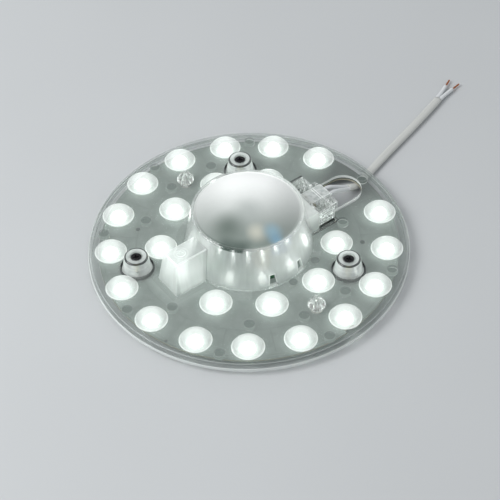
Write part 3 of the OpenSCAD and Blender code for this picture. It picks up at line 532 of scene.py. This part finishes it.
# %% Cap colours
cover = Finish("cover_clear", IOR=1.5, Coat_Roughness=0.03, Emission_Strength=1.0)
from_centre = cover.disc()
top = cover.z.ease(29.0, 29.3)
cap = from_centre.ease(27.6, 26.9) * top
ring = from_centre.ease(26.9, 27.6) * top
frost = cover.noise(0.35, 1.0)
# The cap is painted lighter at the back and darker at the front and at both sides, painted light and shade,
# and it has a faint glow of painted light at the back.
lit_side = (cover.x * 0.58 + cover.y * 0.81).ease(-26.0, 20.0)
cap_colour = lit_side.blend(shade(140, 152, 145), shade(253, 255, 253))
cap_side_shade = abs(cover.x * 0.8 - cover.y * 0.6).ease(6.0, 26.0)
cap_colour = (cap_side_shade * 0.38).blend(cap_colour, shade(96, 106, 101))
for x, y, size, colour, weight in (
    (-17.0, -6.0, 13.0, shade(86, 102, 93), 0.85),
    (-3.0, -4.0, 11.0, shade(152, 162, 158), 0.4),
    (-7.5, -17.5, 7.0, shade(222, 222, 206), 0.75),
    (-0.5, -21.5, 7.0, shade(150, 186, 202), 0.85),
    (-1.6, -25.5, 5.0, shade(132, 174, 198), 0.8),
):
    cap_colour = (cover.disc(x, y).ease(size, 0.0) * weight).blend(cap_colour, colour)
cap_edge = from_centre.ease(21.0, 26.0) * cover.disc(-20.5, -16.0).ease(11.0, 4.0) * 0.8
cap_colour = cap_edge.blend(cap_colour, shade(72, 90, 82))
print("cap painted")

# %% [markdown]
# ### Wall of the cover
# The wall is clear and glossy. Light from the lenses runs up in it, so it glows softly; this glow is painted
# light, emission laid on the wall, with fine upright lines of painted light, and the lenses mirror in it. On
# the side away from the tall pieces the painted glow is brightest; at its foot it fades into the plate. The
# vents have bright cut edges, painted highlights. The screw box at one side starts where its faces leave the
# sloping wall, and has a duller skin; its flank glows with painted light, brightest at its end, and its
# rounded edges carry painted highlights.

# %% Wall masks
around_cover = abs(cover.y).sum("ARCTAN2", cover.x)
from_vent = abs(around_cover - math.pi / 2) - math.radians(15)
vent_edge = abs(from_vent) * from_centre + cover.z.ease(plate_top, 13.0) * 0.75
vent_edge_light = vent_edge.ease(2.45, 2.3) * cover.z.ease(13.6, 13.4) * from_centre.ease(29.0, 29.5)
wall_cloud = cover.noise(9.0).ease(0.3, 0.7)
# Fine upright lines of painted light on the wall.
light_streak = cover.noise(2.4, 1.0, (1, 1, 0.03)).ease(0.3, 0.7)
empty_side = (cover.x * 0.85 - cover.y * 0.5).ease(-8.0, 24.0) * cover.z.ease(6.0, 15.0)
tall_side = cover.disc(-23.5, -16.5).ease(13.0, 4.0) * cover.z.ease(10.0, 17.0) * (1 - cap) * 0.2
behind_ring = cover.disc(-21.4, -15.6).ease(8.0, 5.6) * cover.z.ease(27.9, 28.5) * (1 - cap)
wall_radius, wall_slope = 33.3, 0.2
from_wall = from_centre + (cover.z - plate_top).most(0.0) * wall_slope
box = from_wall.ease(wall_radius + 0.2, wall_radius + 0.9) * cover.x.ease(-20.0, -24.0)
upward = cover.facing()
# Painted highlights on the box's rounded edges, and painted light on its flank, brightest at its end.
box_edge_light = box * upward.ease(0.25, 0.4) * upward.ease(0.98, 0.9)
lit_box_flank = box * upward.ease(0.6, 0.3) * (0.3 + 0.7 * cover.x.ease(-48.6, -47.4))
sunk = cover.z.ease(5.2, 4.9)
# The flange's bottom face meets the board: it is painted black with a glow of painted light in the lit
# board's tone.
foot_face_glow = cover.z.ease(board_top + 0.1, board_top + 0.05)
screw_spot = (-41.4, 0.0)
from_screw = cover.disc(*screw_spot)
# The screw boss shows through the box's top as two rings, drawn as painted light and brighter on the front
# half.
screw_ring_light = abs(from_screw - 2.2).ease(0.7, 0.1) * (0.35 + cover.y.ease(1.0, -2.0) * 0.35)
wide_ring_light = abs(from_screw - 3.5).ease(0.8, 0.1) * 0.2
screw_ring_light = (screw_ring_light + wide_ring_light) * box * upward.ease(0.9, 0.98)
print("screw ring at", screw_spot)

# %% Cover finish
wall_colour = painted(
    light_streak.blend(shade(226, 233, 229), shade(231, 238, 235)),
    (tall_side, shade(120, 142, 130)), (behind_ring, shade(70, 90, 81)),
    (sunk, shade(150, 160, 155)), (foot_face_glow, (0, 0, 0)), (cap, cap_colour),
)
cover.set("Base Color", wall_colour)
cover.set("Roughness", 0.07 + box * 0.3 + cap * (0.34 + frost * 0.1))
cover.set("Coat Weight", 0.4 - box * 0.4 - cap * 0.34)
lit_foot = cover.z.ease(30.0, 10.0) * cover.z.ease(9.0, 16.0) * 0.12 + cover.z.ease(14.0, 24.0) * 0.05
lit_wall = lit_foot + wall_cloud * 0.05 + light_streak * 0.01 + empty_side * 0.28 + lit_box_flank * 0.34
lit_wall = lit_wall * (1 - tall_side) + vent_edge_light * 0.1 + box_edge_light * 0.3 + screw_ring_light * 0.3
piped = (1 - cap) * lit_wall + cap * lit_side * 0.15
piped = (piped * (1 - sunk) * (1 - behind_ring)).blend((0, 0, 0), led_white)
cover.set("Emission Color", foot_face_glow.blend(piped, shade(146, 157, 152)))
cover_see = 0.42 + light_streak * 0.015 + screw_ring_light * 0.3 + cap * 0.5 - ring * 0.1
cover_see = cover_see - box * 0.08 + vent_edge_light * 0.25 + box_edge_light * 0.3
cover_see = (1 - sunk) * (cover_see + cover.outline() * 0.4) + behind_ring * 0.4
cover.set("Alpha", cover_see.most(0.1).most(foot_face_glow).least(1.0))
ripple = cover.noise(1.0, 1.0, (0.12, 0.12, 1.4))
relief = cover.bump(frost * cap * 0.2 + ripple * (1 - cap) * 0.45, 0.1)
cover.gloss(0.05, relief, 0.1 - box * 0.07 - cap * 0.085)
dress(cover, "driver_cover")

# %% [markdown]
# ## Clips and posts
# Both are clear mouldings. The clips are small, thick and split, and real refraction makes the bright and
# dark lines inside them; soft patches of painted light glow in them as well. A post is a tube round a screw,
# and refraction would fill it with dark images of its own bores. It reads better as a pale see-through wall
# with a gloss and a glow of painted light, brighter in a band round its middle, with a dark ring of painted
# shade where its rounded top edge turns the light away and another on the flange round its foot.

# %% Clips
clips = Finish("clip_clear", Transmission_Weight=1.0, IOR=1.45, Emission_Strength=1.0)
clips.set("Base Color", shade(250, 253, 251))
clip_wave = clips.noise(2.2)
clips.set("Roughness", 0.02 + clip_wave.ease(0.4, 0.8) * 0.05)
# Soft patches of painted light glow in the clips.
clips.set("Emission Color", (clip_wave.ease(0.3, 0.7) * 0.12).blend((0, 0, 0), led_white))
clips.bump(clip_wave, 0.02)
dress(clips, "board_clips")

# %% Posts
posts = Finish("post_clear", Roughness=0.06, IOR=1.49, Emission_Strength=1.0)
from_post = foot_distance(posts)
post_wave = posts.noise(4.0)
post_cloud = post_wave.ease(0.3, 0.7)
post_top = 13.5
# Painted shade: a dark ring on the rounded top edge and another on the flange round the foot.
post_rim = from_post.ease(5.0, 5.3) * posts.z.ease(post_top - 0.9, post_top - 0.6)
post_dark = post_rim.most(from_post.ease(7.7, 7.9) * from_post.ease(9.1, 8.9))
post_bore = from_post.ease(3.6, 3.4)
post_light_band = abs(posts.z - 10.0).ease(0.5, 0.1)
post_white = post_cloud.blend(shade(224, 234, 230), shade(238, 245, 242))
posts.set("Base Color", post_dark.blend(post_white, shade(44, 51, 49)))
# Painted light: an even glow, brighter in a band round the middle.
post_lit = (0.22 + post_cloud * 0.06 + post_light_band * 0.12) * (1 - post_bore) * (1 - post_dark)
posts.set("Emission Color", post_lit.blend((0, 0, 0), led_white))
post_see = 0.3 + post_cloud * 0.06 - post_bore * 0.2 + post_dark * 0.45
post_flange = from_post.ease(8.9, 9.1)
post_see = (post_see + posts.outline(2.0) * 0.5) * (1 - post_flange * 0.85)
posts.set("Alpha", post_see.least(1.0))
posts.gloss(0.03, posts.bump(post_wave, 0.02))
dress(posts, "magnet_post_left", "magnet_post_right", "magnet_post_rear")
print("posts finished,", post_top, "mm high")

# %% [markdown]
# ## Terminal block
# The block is a thin-walled clear box, and its many parallel walls would send a refracted ray in circles.
# See-through faces with a gloss are quieter. What the eye reads on such a box are its edges, and they are
# painted bright, as painted highlights: a point lies on an edge where it is near two of the block's planes
# at once, so the nearness to the planes across, along and up is added and only sums of two are kept. The top
# of the bridge and the flanks glow faintly with painted light, and the whole block glows a little in soft
# patches. In the open bays at both sides, patches of painted shade and painted glints stand for what thick
# corners do to the light. A dark line runs along the top of the back flank, and painted shade lies along the
# foot of the flanks, in the gap beside the plate.

# %% Terminal block masks
block = Finish("terminal_clear", Roughness=0.08, IOR=1.49, Emission_Strength=1.0)


def near_planes(value, places):
    """1 on the nearest of the given planes, 0 further than a third of a millimetre from it."""
    return nearest(abs(value - place) for place in places).ease(0.36, 0.12)


aside = abs(block.y)
bridge_top, flank = 13.8, 14.0
block_edge_light = near_planes(block.x, (35.3, 36.5, 43.8, 45.0, 50.0, 51.0))
block_edge_light = block_edge_light + near_planes(aside, (4.4, 5.1, 8.1, 9.3, 12.8, flank))
block_edge_light = (block_edge_light + near_planes(block.z, (8.6, 11.0, 12.4, bridge_top, 15.5))).ease(1.2, 1.8)
bridge_face = near_planes(block.z, (bridge_top,)) * aside.ease(4.5, 4.3)
flank_face = aside.ease(flank - 0.2, flank - 0.05)
print("terminal block masks, flanks at", flank, "mm")

# %% Terminal block finish
block_wave = block.noise(2.4, 1.0)
block_cloud = block_wave.ease(0.35, 0.65)
# A dark line is painted along the top of the back flank, and painted shade along the flanks' foot, in the
# gap beside the plate.
flank_foot = flank_face * block.z.ease(plate_top + 0.2, plate_top - 0.1)
block_dark = (block.y.ease(12.6, 13.0) * block.z.ease(14.6, 15.2)).most(flank_foot)
bays = aside.ease(4.6, 5.4)
block_shade = block_wave.ease(0.53, 0.62) * bays
block_white = painted(
    block_cloud.blend(shade(218, 227, 223), shade(244, 248, 246)), (block_edge_light, shade(250, 253, 251)),
    (block_shade * 0.85, shade(84, 93, 89)), (block_dark, shade(50, 56, 54)),
)
block.set("Base Color", block_white)
glint = block.noise(1.5, 1.0).ease(0.56, 0.66) * bays
# Painted light: a soft glow in patches, glints in the bays, and light on the edges, the bridge's top and the
# flanks.
block_lit = block_cloud * 0.06 + glint * 0.3 + block_edge_light * 0.08 + (bridge_face + flank_face) * 0.07
block.set("Emission Color", (block_lit * (1 - block_dark)).blend((0, 0, 0), shade(246, 255, 250)))
block_see = 0.1 + block_cloud * 0.08 + (block_shade + glint) * 0.28 + block_edge_light * 0.24
block_see = block_see + (bridge_face + flank_face) * 0.26 + block_dark * 0.4
block.set("Alpha", (block_see + block.outline(2.0) * 0.3).least(1.0))
block.gloss(0.04, block.bump(block_wave, 0.04))
dress(block, "terminal_block")

# %% [markdown]
# ## LED board
# The board is coated white, but next to lenses so much brighter than itself the coat reads as a grey green,
# and it is painted so; its cut edges show the tan laminate. Under the coat the copper fields show as a very
# slight step in tone, with a fine gap between one LED and the next. The gaps run along two circles and
# across them, so they are masks of radius and angle. The light of the LEDs on the board is painted light,
# emission on its top face: even from above, brighter under each lens and by the cover and the box, less
# beside the cord, where no lens stands and the coat is painted darker too, and none in the gap at the
# terminal block, which is painted in shade.

# %% Board masks
board = Finish("board_white", IOR=1.5, Specular_IOR_Level=0.2, Emission_Strength=1.0)
board_reach = board.disc()
board_turn = board.y.sum("ARCTAN2", board.x)
gap_ring = nearest(abs(board_reach - radius) for radius in (58.0, 74.6))
gap_turn = (board_turn + outer_step / 2).sum("WRAP", outer_step / 2, -outer_step / 2)
gap_cross = abs(gap_turn) * board_reach
gap = gap_ring.ease(0.45, 0.2).most(gap_cross.ease(0.45, 0.2) * board_reach.ease(57.5, 58.5))
face = abs(board.facing()).ease(0.4, 0.6)
# Under each pad the coat is painted black with the pads' even glow of painted light.
under_pad = pad_distance(board).ease(3.0, 2.9) * board.z.ease(board_top - 0.1, board_top - 0.05)
under_lens = lens_distance(board)
# Painted light of the LEDs on the board: even, brighter under each lens, by the cover and by the box, much
# less beside the cord.
led_light = (0.75 + under_lens.ease(1.4, 1.0) * 0.3) * (1 - by_cord(board) * 0.9)
led_light = led_light + board_reach.ease(47.0, 36.0) * 0.7
lens_light_spot = under_lens.ease(0.8, 0.5)
box_end, box_half_width = -50.6, 7.8
box_x, box_y = (box_end - board.x).most(0.0), (abs(board.y) - box_half_width).most(0.0)
by_box = (box_x * box_x + box_y * box_y).sum("SQRT").ease(9.0, 0.0) * board.x.ease(-28.0, -34.0)
led_light = led_light + by_box * 1.2
print("board lit, also by the box that ends at", box_end, "mm")

# %% Board finish
opening_half_width = 15.3
# The gap at the terminal block is painted in shade; three small dark dots, marks on the coat, share this
# mask.
shaded = abs(board.y).ease(opening_half_width + 0.3, opening_half_width - 0.1)
shaded = shaded * board.x.ease(27.0, 29.0) * board.x.ease(48.0, 46.5)
coat_dots = ((-39.0, 43.9, 1.2), (46.8, -34.8, 1.3), (-70.7, -27.0, 0.8))
for x, y, size in coat_dots:
    shaded = shaded.most(board.disc(x, y).ease(size + 0.2, size - 0.2) * 0.7)
coat = painted(
    board.noise(5.0).ease(0.3, 0.7).blend(shade(92, 100, 96), shade(102, 110, 106)),
    (gap * 0.5, shade(78, 87, 83)), (by_cord(board) * 0.6, shade(56, 62, 60)),
    (shaded, shade(46, 52, 50)), (under_pad, (0, 0, 0)),
)
laminate = board.noise(0.5, 3.0, (1, 1, 6)).blend(shade(146, 142, 124), shade(188, 184, 166))
board.set("Base Color", face.blend(laminate, coat))
upper_face = face * board.z.ease(board_top - 0.2, board_top - 0.05)
coat_glow = upper_face * (1 - shaded) * (led_light * 0.115 + lens_light_spot * 0.5)
coat_lit = coat_glow.blend((0, 0, 0), shade(236, 255, 246))
board.set("Emission Color", under_pad.blend(coat_lit, pad_light(board, 1.0)))
board.set("Roughness", 0.6 + board.noise(1.2) * 0.1)
board.bump(1 - gap * face, 0.03)
dress(board, "led_board")
print("board finished, with", len(coat_dots), "dots")

# %% [markdown]
# ## Driver pieces and hidden mouldings
# Inside the cover stand the pieces of the driver. Most are seen only through the frosted cap, but
# each has its own finish: shrink sleeve, dipped lacquer, ferrite, tape, black epoxy.

# %% Driver finishes
bulk_sleeve = moulded("sleeve_green", shade(40, 84, 66), 0.3)
sleeve_stripe = bulk_sleeve.disc(-21.0, -5.5).ease(3.4, 3.2) * bulk_sleeve.z.ease(25.1, 24.9)
bare_top = bulk_sleeve.disc(-13.5, -5.5).ease(6.9, 6.7) * bulk_sleeve.z.ease(25.2, 25.4)
sleeve_colour = painted(
    bulk_sleeve.noise(4.0).blend(shade(36, 78, 61), shade(48, 94, 74)),
    (sleeve_stripe, shade(150, 176, 164)), (bare_top, shade(196, 198, 199)),
)
bulk_sleeve.set("Base Color", sleeve_colour)
bulk_sleeve.set("Metallic", bare_top)
dress(bulk_sleeve, "bulk_capacitor")
for name, colour, roughness, patch, change, grain, *wearers in (
    ("film_beige", shade(214, 196, 152), 0.28, 6.0, 0.08, 0.25, "film_capacitor"),
    ("varistor_blue", shade(46, 110, 176), 0.25, 6.0, 0.1, 0.25, "varistor"),
    ("ferrite", shade(58, 58, 60), 0.6, 1.5, 0.18, 0.15, "transformer_core", "filter_choke"),
    ("coil_tape", shade(216, 184, 70), 0.3, 3.0, 0.1, 0.25, "transformer_coil"),
    ("epoxy_black", shade(30, 30, 32), 0.55, 2.0, 0.2, 0.1, "bridge_rectifier", "controller_chip"),
    ("resistor_green", shade(96, 132, 104), 0.45, 2.0, 0.1, 0.25, "fuse_resistor"),
    ("base_white", shade(228, 229, 226), 0.45, 8.0, 0.03, 0.25, "driver_base"),
):
    dress(moulded(name, colour, roughness, patch, change, grain), *wearers)

green_board = moulded("board_green", shade(44, 108, 70), 0.35)
to_edge = {"feature": "DISTANCE_TO_EDGE"}
tracks = green_board.node("ShaderNodeTexVoronoi", to_edge, _0=green_board.place, Scale=0.25).ease(0.10, 0.16)
green_board.set("Base Color", tracks.blend(shade(34, 90, 56), shade(58, 128, 84)))
green_board.bump(tracks, 0.03)
dress(green_board, "driver_board")

# %% [markdown]
# ## Metal pieces
# Plated steel, nickel, brass and copper differ in colour, in gloss and in the scale of their
# marks. One function gives them all: fine turned or drawn lines, and a tarnish that follows them. The
# foot screws have black heads and pale shanks, told apart by their height.

# %% Metal finishes
def plated(name, colour, tarnish, roughness, mark=0.3, stretch=(1, 1, 1), metallic=1.0):
    finish = Finish(name, Metallic=metallic)
    lines = finish.noise(mark, 3.0, stretch)
    patch = finish.noise(3.0).ease(0.35, 0.75)
    finish.set("Base Color", (patch * 0.5 + lines * 0.3).blend(colour, tarnish))
    finish.set("Roughness", roughness + lines * 0.15)
    finish.bump(lines, 0.008)
    return finish


copper = plated("copper", shade(214, 140, 96), shade(168, 98, 62), 0.25, 0.2)
zinc = plated("steel_zinc", shade(206, 208, 210), shade(170, 172, 170), 0.3)
black_steel = plated("steel_black", shade(36, 36, 38), shade(20, 20, 22), 0.35, 0.25)
head_seat = 10.9
shank = black_steel.z.ease(head_seat + 0.1, head_seat)
wear = black_steel.noise(1.0).ease(0.3, 0.7)
head_black = wear.blend(shade(24, 24, 26), shade(42, 42, 44))
shank_pale = wear.blend(shade(206, 198, 166), shade(226, 220, 194))
black_steel.set("Base Color", shank.blend(head_black, shank_pale))
black_steel.set("Metallic", 0.5 + shank * 0.5)
nickel = plated("magnet_nickel", shade(204, 204, 206), shade(176, 176, 178), 0.18, 0.5)
dress(zinc, "cover_screw")
dress(black_steel, "foot_screws")
dress(nickel, "magnet_left", "magnet_right", "magnet_rear")
dress(plated("pin_brass", shade(226, 196, 120), shade(190, 156, 84), 0.25), "output_pins")
clamp_steel = plated("clamp_steel", shade(208, 204, 190), shade(172, 166, 150), 0.28, 0.25, (1, 6, 6))
dress(clamp_steel, "terminal_clamp_left", "terminal_clamp_right")

# %% [markdown]
# ## Soft cord finishes
# The sheath is matt extruded plastic with faint draw lines along it, so its pattern follows the
# length stored in the piece's own UV map. The cores are a little glossier and slightly clear.

# %% Cord finishes
def extruded(name, colour, roughness, **constants):
    finish = Finish(name, **constants)
    along = finish.node("ShaderNodeUVMap", {"uv_map": "along"})
    at = finish.node("ShaderNodeMapping", _0=along, Scale=(40.0, 30.0, 1.0))
    lines = finish.node("ShaderNodeTexNoise", _0=at, Scale=1.0, Detail=2.0)
    dark = tuple(c * 0.9 for c in colour)
    finish.set("Base Color", lines.ease(0.3, 0.7).blend(dark, colour))
    finish.set("Roughness", roughness + lines * 0.12)
    finish.bump(lines, 0.03)
    return finish


cord_skin = extruded(
    "cord_white", shade(206, 208, 204), 0.5, Subsurface_Weight=0.1, Subsurface_Radius=[MM, MM, MM]
)
dress(cord_skin, sheath)
core_skin = extruded("core_white", shade(226, 229, 230), 0.35)
dress(core_skin, *cores.values(), end_cores)

# %% [markdown]
# ## Geometry Nodes
# What repeats is made by node trees: twisted copper strands in the bare ends, screw threads, turns
# of wire, LED windows and the ribs inside the cover. Each tree has named inputs, which it takes from
# the first set of sizes it is used with; the result is turned into a plain mesh.

# %% Tree helpers
def node_tree(name, **inputs):
    """Geometry tree with a Geometry input and named inputs; returns the tree and its sockets."""
    tree = bpy.data.node_groups.new(name, "GeometryNodeTree")
    kinds = {int: "NodeSocketInt", float: "NodeSocketFloat", bpy.types.Material: "NodeSocketMaterial"}
    tree.interface.new_socket("Geometry", in_out="INPUT", socket_type="NodeSocketGeometry")
    for key, value in inputs.items():
        tree.interface.new_socket(key.replace("_", " "), in_out="INPUT", socket_type=kinds[type(value)])
    tree.interface.new_socket("Geometry", in_out="OUTPUT", socket_type="NodeSocketGeometry")
    group = tree.nodes.new("NodeGroupInput")
    return tree, [Tone(tree, socket) for socket in group.outputs[:-1]]


def close_tree(shape, material):
    """Ends a tree in Realize Instances, Set Shade Smooth and Set Material."""
    real = shape.node("GeometryNodeRealizeInstances", Geometry=shape)
    soft = shape.node("GeometryNodeSetShadeSmooth", Geometry=real)
    done = shape.node("GeometryNodeSetMaterial", Geometry=soft, Material=material)
    output = shape.tree.nodes.new("NodeGroupOutput")
    shape.tree.links.new(done.socket, output.inputs[0])


def grow(name, tree, source, **inputs):
    """Runs a tree on a source object and returns the result as a plain mesh piece."""
    modifier = source.modifiers.new(name, "NODES")
    modifier.node_group = tree
    for item in tree.interface.items_tree:
        key = item.name.replace(" ", "_")
        if item.in_out == "INPUT" and key in inputs:
            modifier[item.identifier] = inputs[key]
    shape = source.evaluated_get(bpy.context.evaluated_depsgraph_get())
    mesh = bpy.data.meshes.new_from_object(shape)
    mesh.name = name
    source.modifiers.remove(modifier)
    bpy.data.objects.remove(source)
    print(name, len(mesh.polygons), "faces")
    return new_object(name, mesh)


def line_source(name, routes):
    """Poly curves along routes, as the start of a tree."""
    curve = bpy.data.curves.new(name, "CURVE")
    curve.dimensions = "3D"
    for route in routes:
        spline = curve.splines.new("POLY")
        spline.points.add(len(route) - 1)
        for point, at in zip(spline.points, route):
            point.co = (*at, 1)
    return new_object(name, curve)


def point_source(name, points, turns=None):
    """Loose points, each with a turn about the vertical, as the start of a tree."""
    source = new_piece(name, points, [])
    turn = source.data.attributes.new("turn", "FLOAT", "POINT")
    turn.data.foreach_set("value", turns or [0.0] * len(points))
    return source


print("tree helpers ready")

# %% [markdown]
# ### Copper strands
# A bare end is a bundle of thin wires with a slight twist. Each spline is copied once for each
# strand, pushed out from the middle by an angle that grows along it, and given a round profile.

# %% Strand tree
strand_sizes = dict(
    Strands=6, Bundle_Radius=0.33 * MM, Strand_Radius=0.165 * MM, Twist=500.0, Material=copper.material
)
strand_tree, (wire, strands, bundle, fine, twist, skin) = node_tree("copper_strands", **strand_sizes)
even = wire.node("GeometryNodeResampleCurve", Curve=wire, Count=14)
copies = wire.node("GeometryNodeDuplicateElements", {"domain": "SPLINE"}, Geometry=even, Amount=strands)
number = Tone(strand_tree, copies.socket.node.outputs[1])
along = wire.node("GeometryNodeSplineParameter", out=1)
angle = number / strands * (2 * math.pi) + along * twist
normal, ahead = wire.node("GeometryNodeInputNormal"), wire.node("GeometryNodeInputTangent")
side = wire.node("ShaderNodeVectorMath", {"operation": "CROSS_PRODUCT"}, _0=ahead, _1=normal)
pushes = [
    wire.node("ShaderNodeVectorMath", {"operation": "SCALE"}, _0=way, Scale=angle.sum(part) * bundle)
    for way, part in ((normal, "COSINE"), (side, "SINE"))
]
offset = wire.node("ShaderNodeVectorMath", _0=pushes[0], _1=pushes[1])
twisted = wire.node("GeometryNodeSetPosition", Geometry=copies, Offset=offset)
both = wire.tree.nodes.new("GeometryNodeJoinGeometry")
for strand in (twisted, even):
    wire.tree.links.new(strand.socket, both.inputs[0])
profile = wire.node("GeometryNodeCurvePrimitiveCircle", Resolution=8, Radius=fine)
wires = Tone(strand_tree, both.outputs[0])
close_tree(wire.node("GeometryNodeCurveToMesh", Curve=wires, Profile_Curve=profile, Fill_Caps=True), skin)
print("strand tree with", len(strand_tree.nodes), "nodes")

# %% Bare ends
def tip_route(side):
    """The bare end runs on from its core for about six millimetres."""
    points = free_end_points(side)
    ahead = (Vector(points[-1]) - Vector(points[-2])).normalized()
    return [(Vector(points[-1]) + along * ahead) * MM for along in (-0.6, 0, 2, 4, 5.9)]


def clamp_route(side):
    """The bare end in the clamp, in line with its core."""
    return [Vector((x, side * clamp_offset, core_height)) * MM for x in (37.3, 38.5, 39.7, 40.9)]


end_lines = line_source("end_lines", [tip_route(side) for side in (1, -1)])
end_strands = grow("end_strands", strand_tree, end_lines, **strand_sizes)
clamp_lines = line_source("clamp_lines", [clamp_route(side) for side in (1, -1)])
clamp_strands = grow("clamp_strands", strand_tree, clamp_lines, **strand_sizes)

# %% [markdown]
# ### Threads and turns of wire
# A screw thread and a winding are both a spiral with a small profile. One tree sets a spiral at
# every point it is given: three corners in its profile make a thread, ten make a wire.

# %% Spiral tree
thread_sizes = dict(
    Turns=9.0, Radius=1.49 * MM, Height=6.0 * MM, Profile_Radius=0.17 * MM, Profile_Corners=3,
    Material=black_steel.material,
)
spiral_tree, sockets = node_tree("spirals", **thread_sizes)
spots, turns, radius, height, profile_radius, corners, skin = sockets
spiral = spots.node(
    "GeometryNodeCurveSpiral", Resolution=28, Rotations=turns,
    Start_Radius=radius, End_Radius=radius, Height=height,
)
profile = spots.node("GeometryNodeCurvePrimitiveCircle", Resolution=corners, Radius=profile_radius)
turned = spots.node("GeometryNodeCurveToMesh", Curve=spiral, Profile_Curve=profile, Fill_Caps=True)
close_tree(spots.node("GeometryNodeInstanceOnPoints", Points=spots, Instance=turned), skin)
print("spiral tree with", len(spiral_tree.nodes), "nodes")

# %% Foot screw threads and choke winding
foot_points = point_source("foot_points", [Vector((x, y, board_top)) * MM for x, y in foot_places])
threads = grow("foot_screw_threads", spiral_tree, foot_points, **thread_sizes)
enamel = plated("enamel_wire", shade(184, 104, 58), shade(140, 72, 40), 0.2, 0.4, metallic=0.8)
winding = grow(
    "choke_winding", spiral_tree, point_source("choke_point", [Vector((-9, 12.5, 10.75)) * MM]),
    Turns=14.0, Radius=4.56 * MM, Height=7.7 * MM, Profile_Radius=0.25 * MM, Profile_Corners=10,
    Material=enamel.material,
)

# %% [markdown]
# ### LED windows and cap ribs
# Every LED package is a white box with a yellow window of phosphor in silicone. When the module is
# lit the window is the brightest thing on it. One tree sets a small tile at every point and turns
# it with the point, for the windows and for the short ribs that stiffen the cover's corner inside,
# whose ends catch the light under the rim.

# %% LED finishes
phosphor = Finish("led_phosphor", Emission_Strength=1.5, Roughness=0.3)
grit = phosphor.noise(0.12, 2.0)
phosphor.set("Base Color", grit.blend(shade(250, 226, 120), shade(255, 240, 170)))
phosphor.set("Emission Color", grit.ease(0.2, 0.8).blend(shade(235, 240, 225), shade(255, 255, 250)))
dress(moulded("led_package", shade(238, 238, 232), 0.4, patch=1.0, change=0.03), "leds")

# %% Tile tree and LED windows
lens_spots = [(outer_ring, k * outer_step) for k in range(1, 17)]
lens_spots += [(inner_ring, s * (inner_first + inner_step * k)) for s in (1, -1) for k in range(4)]
window_sizes = dict(Length=2.5 * MM, Width=2.1 * MM, Thickness=0.08 * MM, Material=phosphor.material)
tile_tree, (spots, length, width, thickness, skin) = node_tree("turned_tiles", **window_sizes)
size = spots.node("ShaderNodeCombineXYZ", X=length, Y=width, Z=thickness)
tile = spots.node("GeometryNodeMeshCube", Size=size, Vertices_X=5, Vertices_Y=5, Vertices_Z=2)
turn = spots.node("GeometryNodeInputNamedAttribute", {"data_type": "FLOAT"}, Name="turn")
about_z = spots.node("ShaderNodeCombineXYZ", Z=turn)
close_tree(spots.node("GeometryNodeInstanceOnPoints", Points=spots, Instance=tile, Rotation=about_z), skin)


def ring_source(name, spots, height):
    """Points at radius and angle, each turned to look outwards."""
    points = [Vector((r * math.cos(a), r * math.sin(a), height)) * MM for r, a in spots]
    return point_source(name, points, [a for r, a in spots])


led_points = ring_source("led_points", lens_spots, height=4.93)
windows = grow("led_windows", tile_tree, led_points, **window_sizes)

# %% Cap ribs
rib_clear = Finish("rib_clear", Roughness=0.1, IOR=1.5, Emission_Strength=2.0)
rib_grain = rib_clear.noise(0.5)
rib_clear.set("Base Color", rib_grain.blend(shade(226, 233, 230), shade(246, 250, 248)))
# The ribs' glow is painted light: it grows towards the top and is brightest on the front side.
lit_front = (rib_clear.x * 0.58 + rib_clear.y * 0.81).ease(-18.0, -24.0)
rib_lit = rib_clear.z.ease(23.5, 27.2) * (0.7 + rib_grain * 0.3) * (0.15 + lit_front * 0.85)
rib_clear.set("Emission Color", rib_lit.blend((0, 0, 0), led_white))
rib_ring, rib_step = 27.3, math.radians(15)
rib_spots = [(rib_ring, (k + 0.5) * rib_step) for k in range(24)]
ribs = grow(
    "cap_ribs", tile_tree, ring_source("rib_points", rib_spots, height=25.45),
    Length=0.7 * MM, Width=0.7 * MM, Thickness=4.6 * MM, Material=rib_clear.material,
)

# %% [markdown]
# ## Floor and light
# A plain pale floor carries the shadow. A broad soft lamp from the left and an even surround light
# the module at a plain level, at which colours look about as they were written.

# %% Floor, lamp and surround
floor_finish = Finish("pale_floor", Roughness=0.7)
floor_cloud = floor_finish.noise(160.0).ease(0.3, 0.7)
floor_finish.set("Base Color", floor_cloud.blend(shade(199, 202, 203), shade(201, 204, 205)))
floor_corners = [(x, y, -0.2 * MM) for x, y in ((-3, -3), (3, -3), (3, 3), (-3, 3))]
floor = new_piece("floor", floor_corners, [(0, 1, 2, 3)])
dress(floor_finish, floor)

lamp_data = bpy.data.lights.new("key_lamp", "AREA")
lamp_data.shape, lamp_data.size, lamp_data.energy = "DISK", 0.7, 9.0
lamp = new_object("key_lamp", lamp_data)
lamp.location = (-0.75, 0.35, 0.85)
lamp.rotation_euler = (-lamp.location).to_track_quat("-Z", "Y").to_euler()
world = bpy.data.worlds.new("surround")
bpy.context.scene.world = world
world.use_nodes = True
surround = world.node_tree.nodes["Background"]
surround.inputs["Color"].default_value = (0.95, 0.97, 1.0, 1)
surround.inputs["Strength"].default_value = 0.55
print("floor and light ready")

# %% [markdown]
# ## Hand over to the frame
# Every piece rides on the one rigid body. The cord's pieces stand for their CAD solids.

# %% Ride and replace
pieces = {
    sheath: ("cord_white", "cord_sheath"),
    cores["core_left"]: ("core_white", "core_left"),
    cores["core_right"]: ("core_white", "core_right"),
    end_cores: ("core_white", "end_cores"),
    end_strands: ("copper", "end_tips"),
    clamp_strands: ("copper", "core_tips"),
    threads: ("steel_black", None),
    winding: ("copper", None),
    windows: ("led_phosphor", None),
    ribs: ("cover_clear", None),
}
for piece, (slot, node) in pieces.items():
    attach(piece, "root")
    if node:
        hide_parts(node)
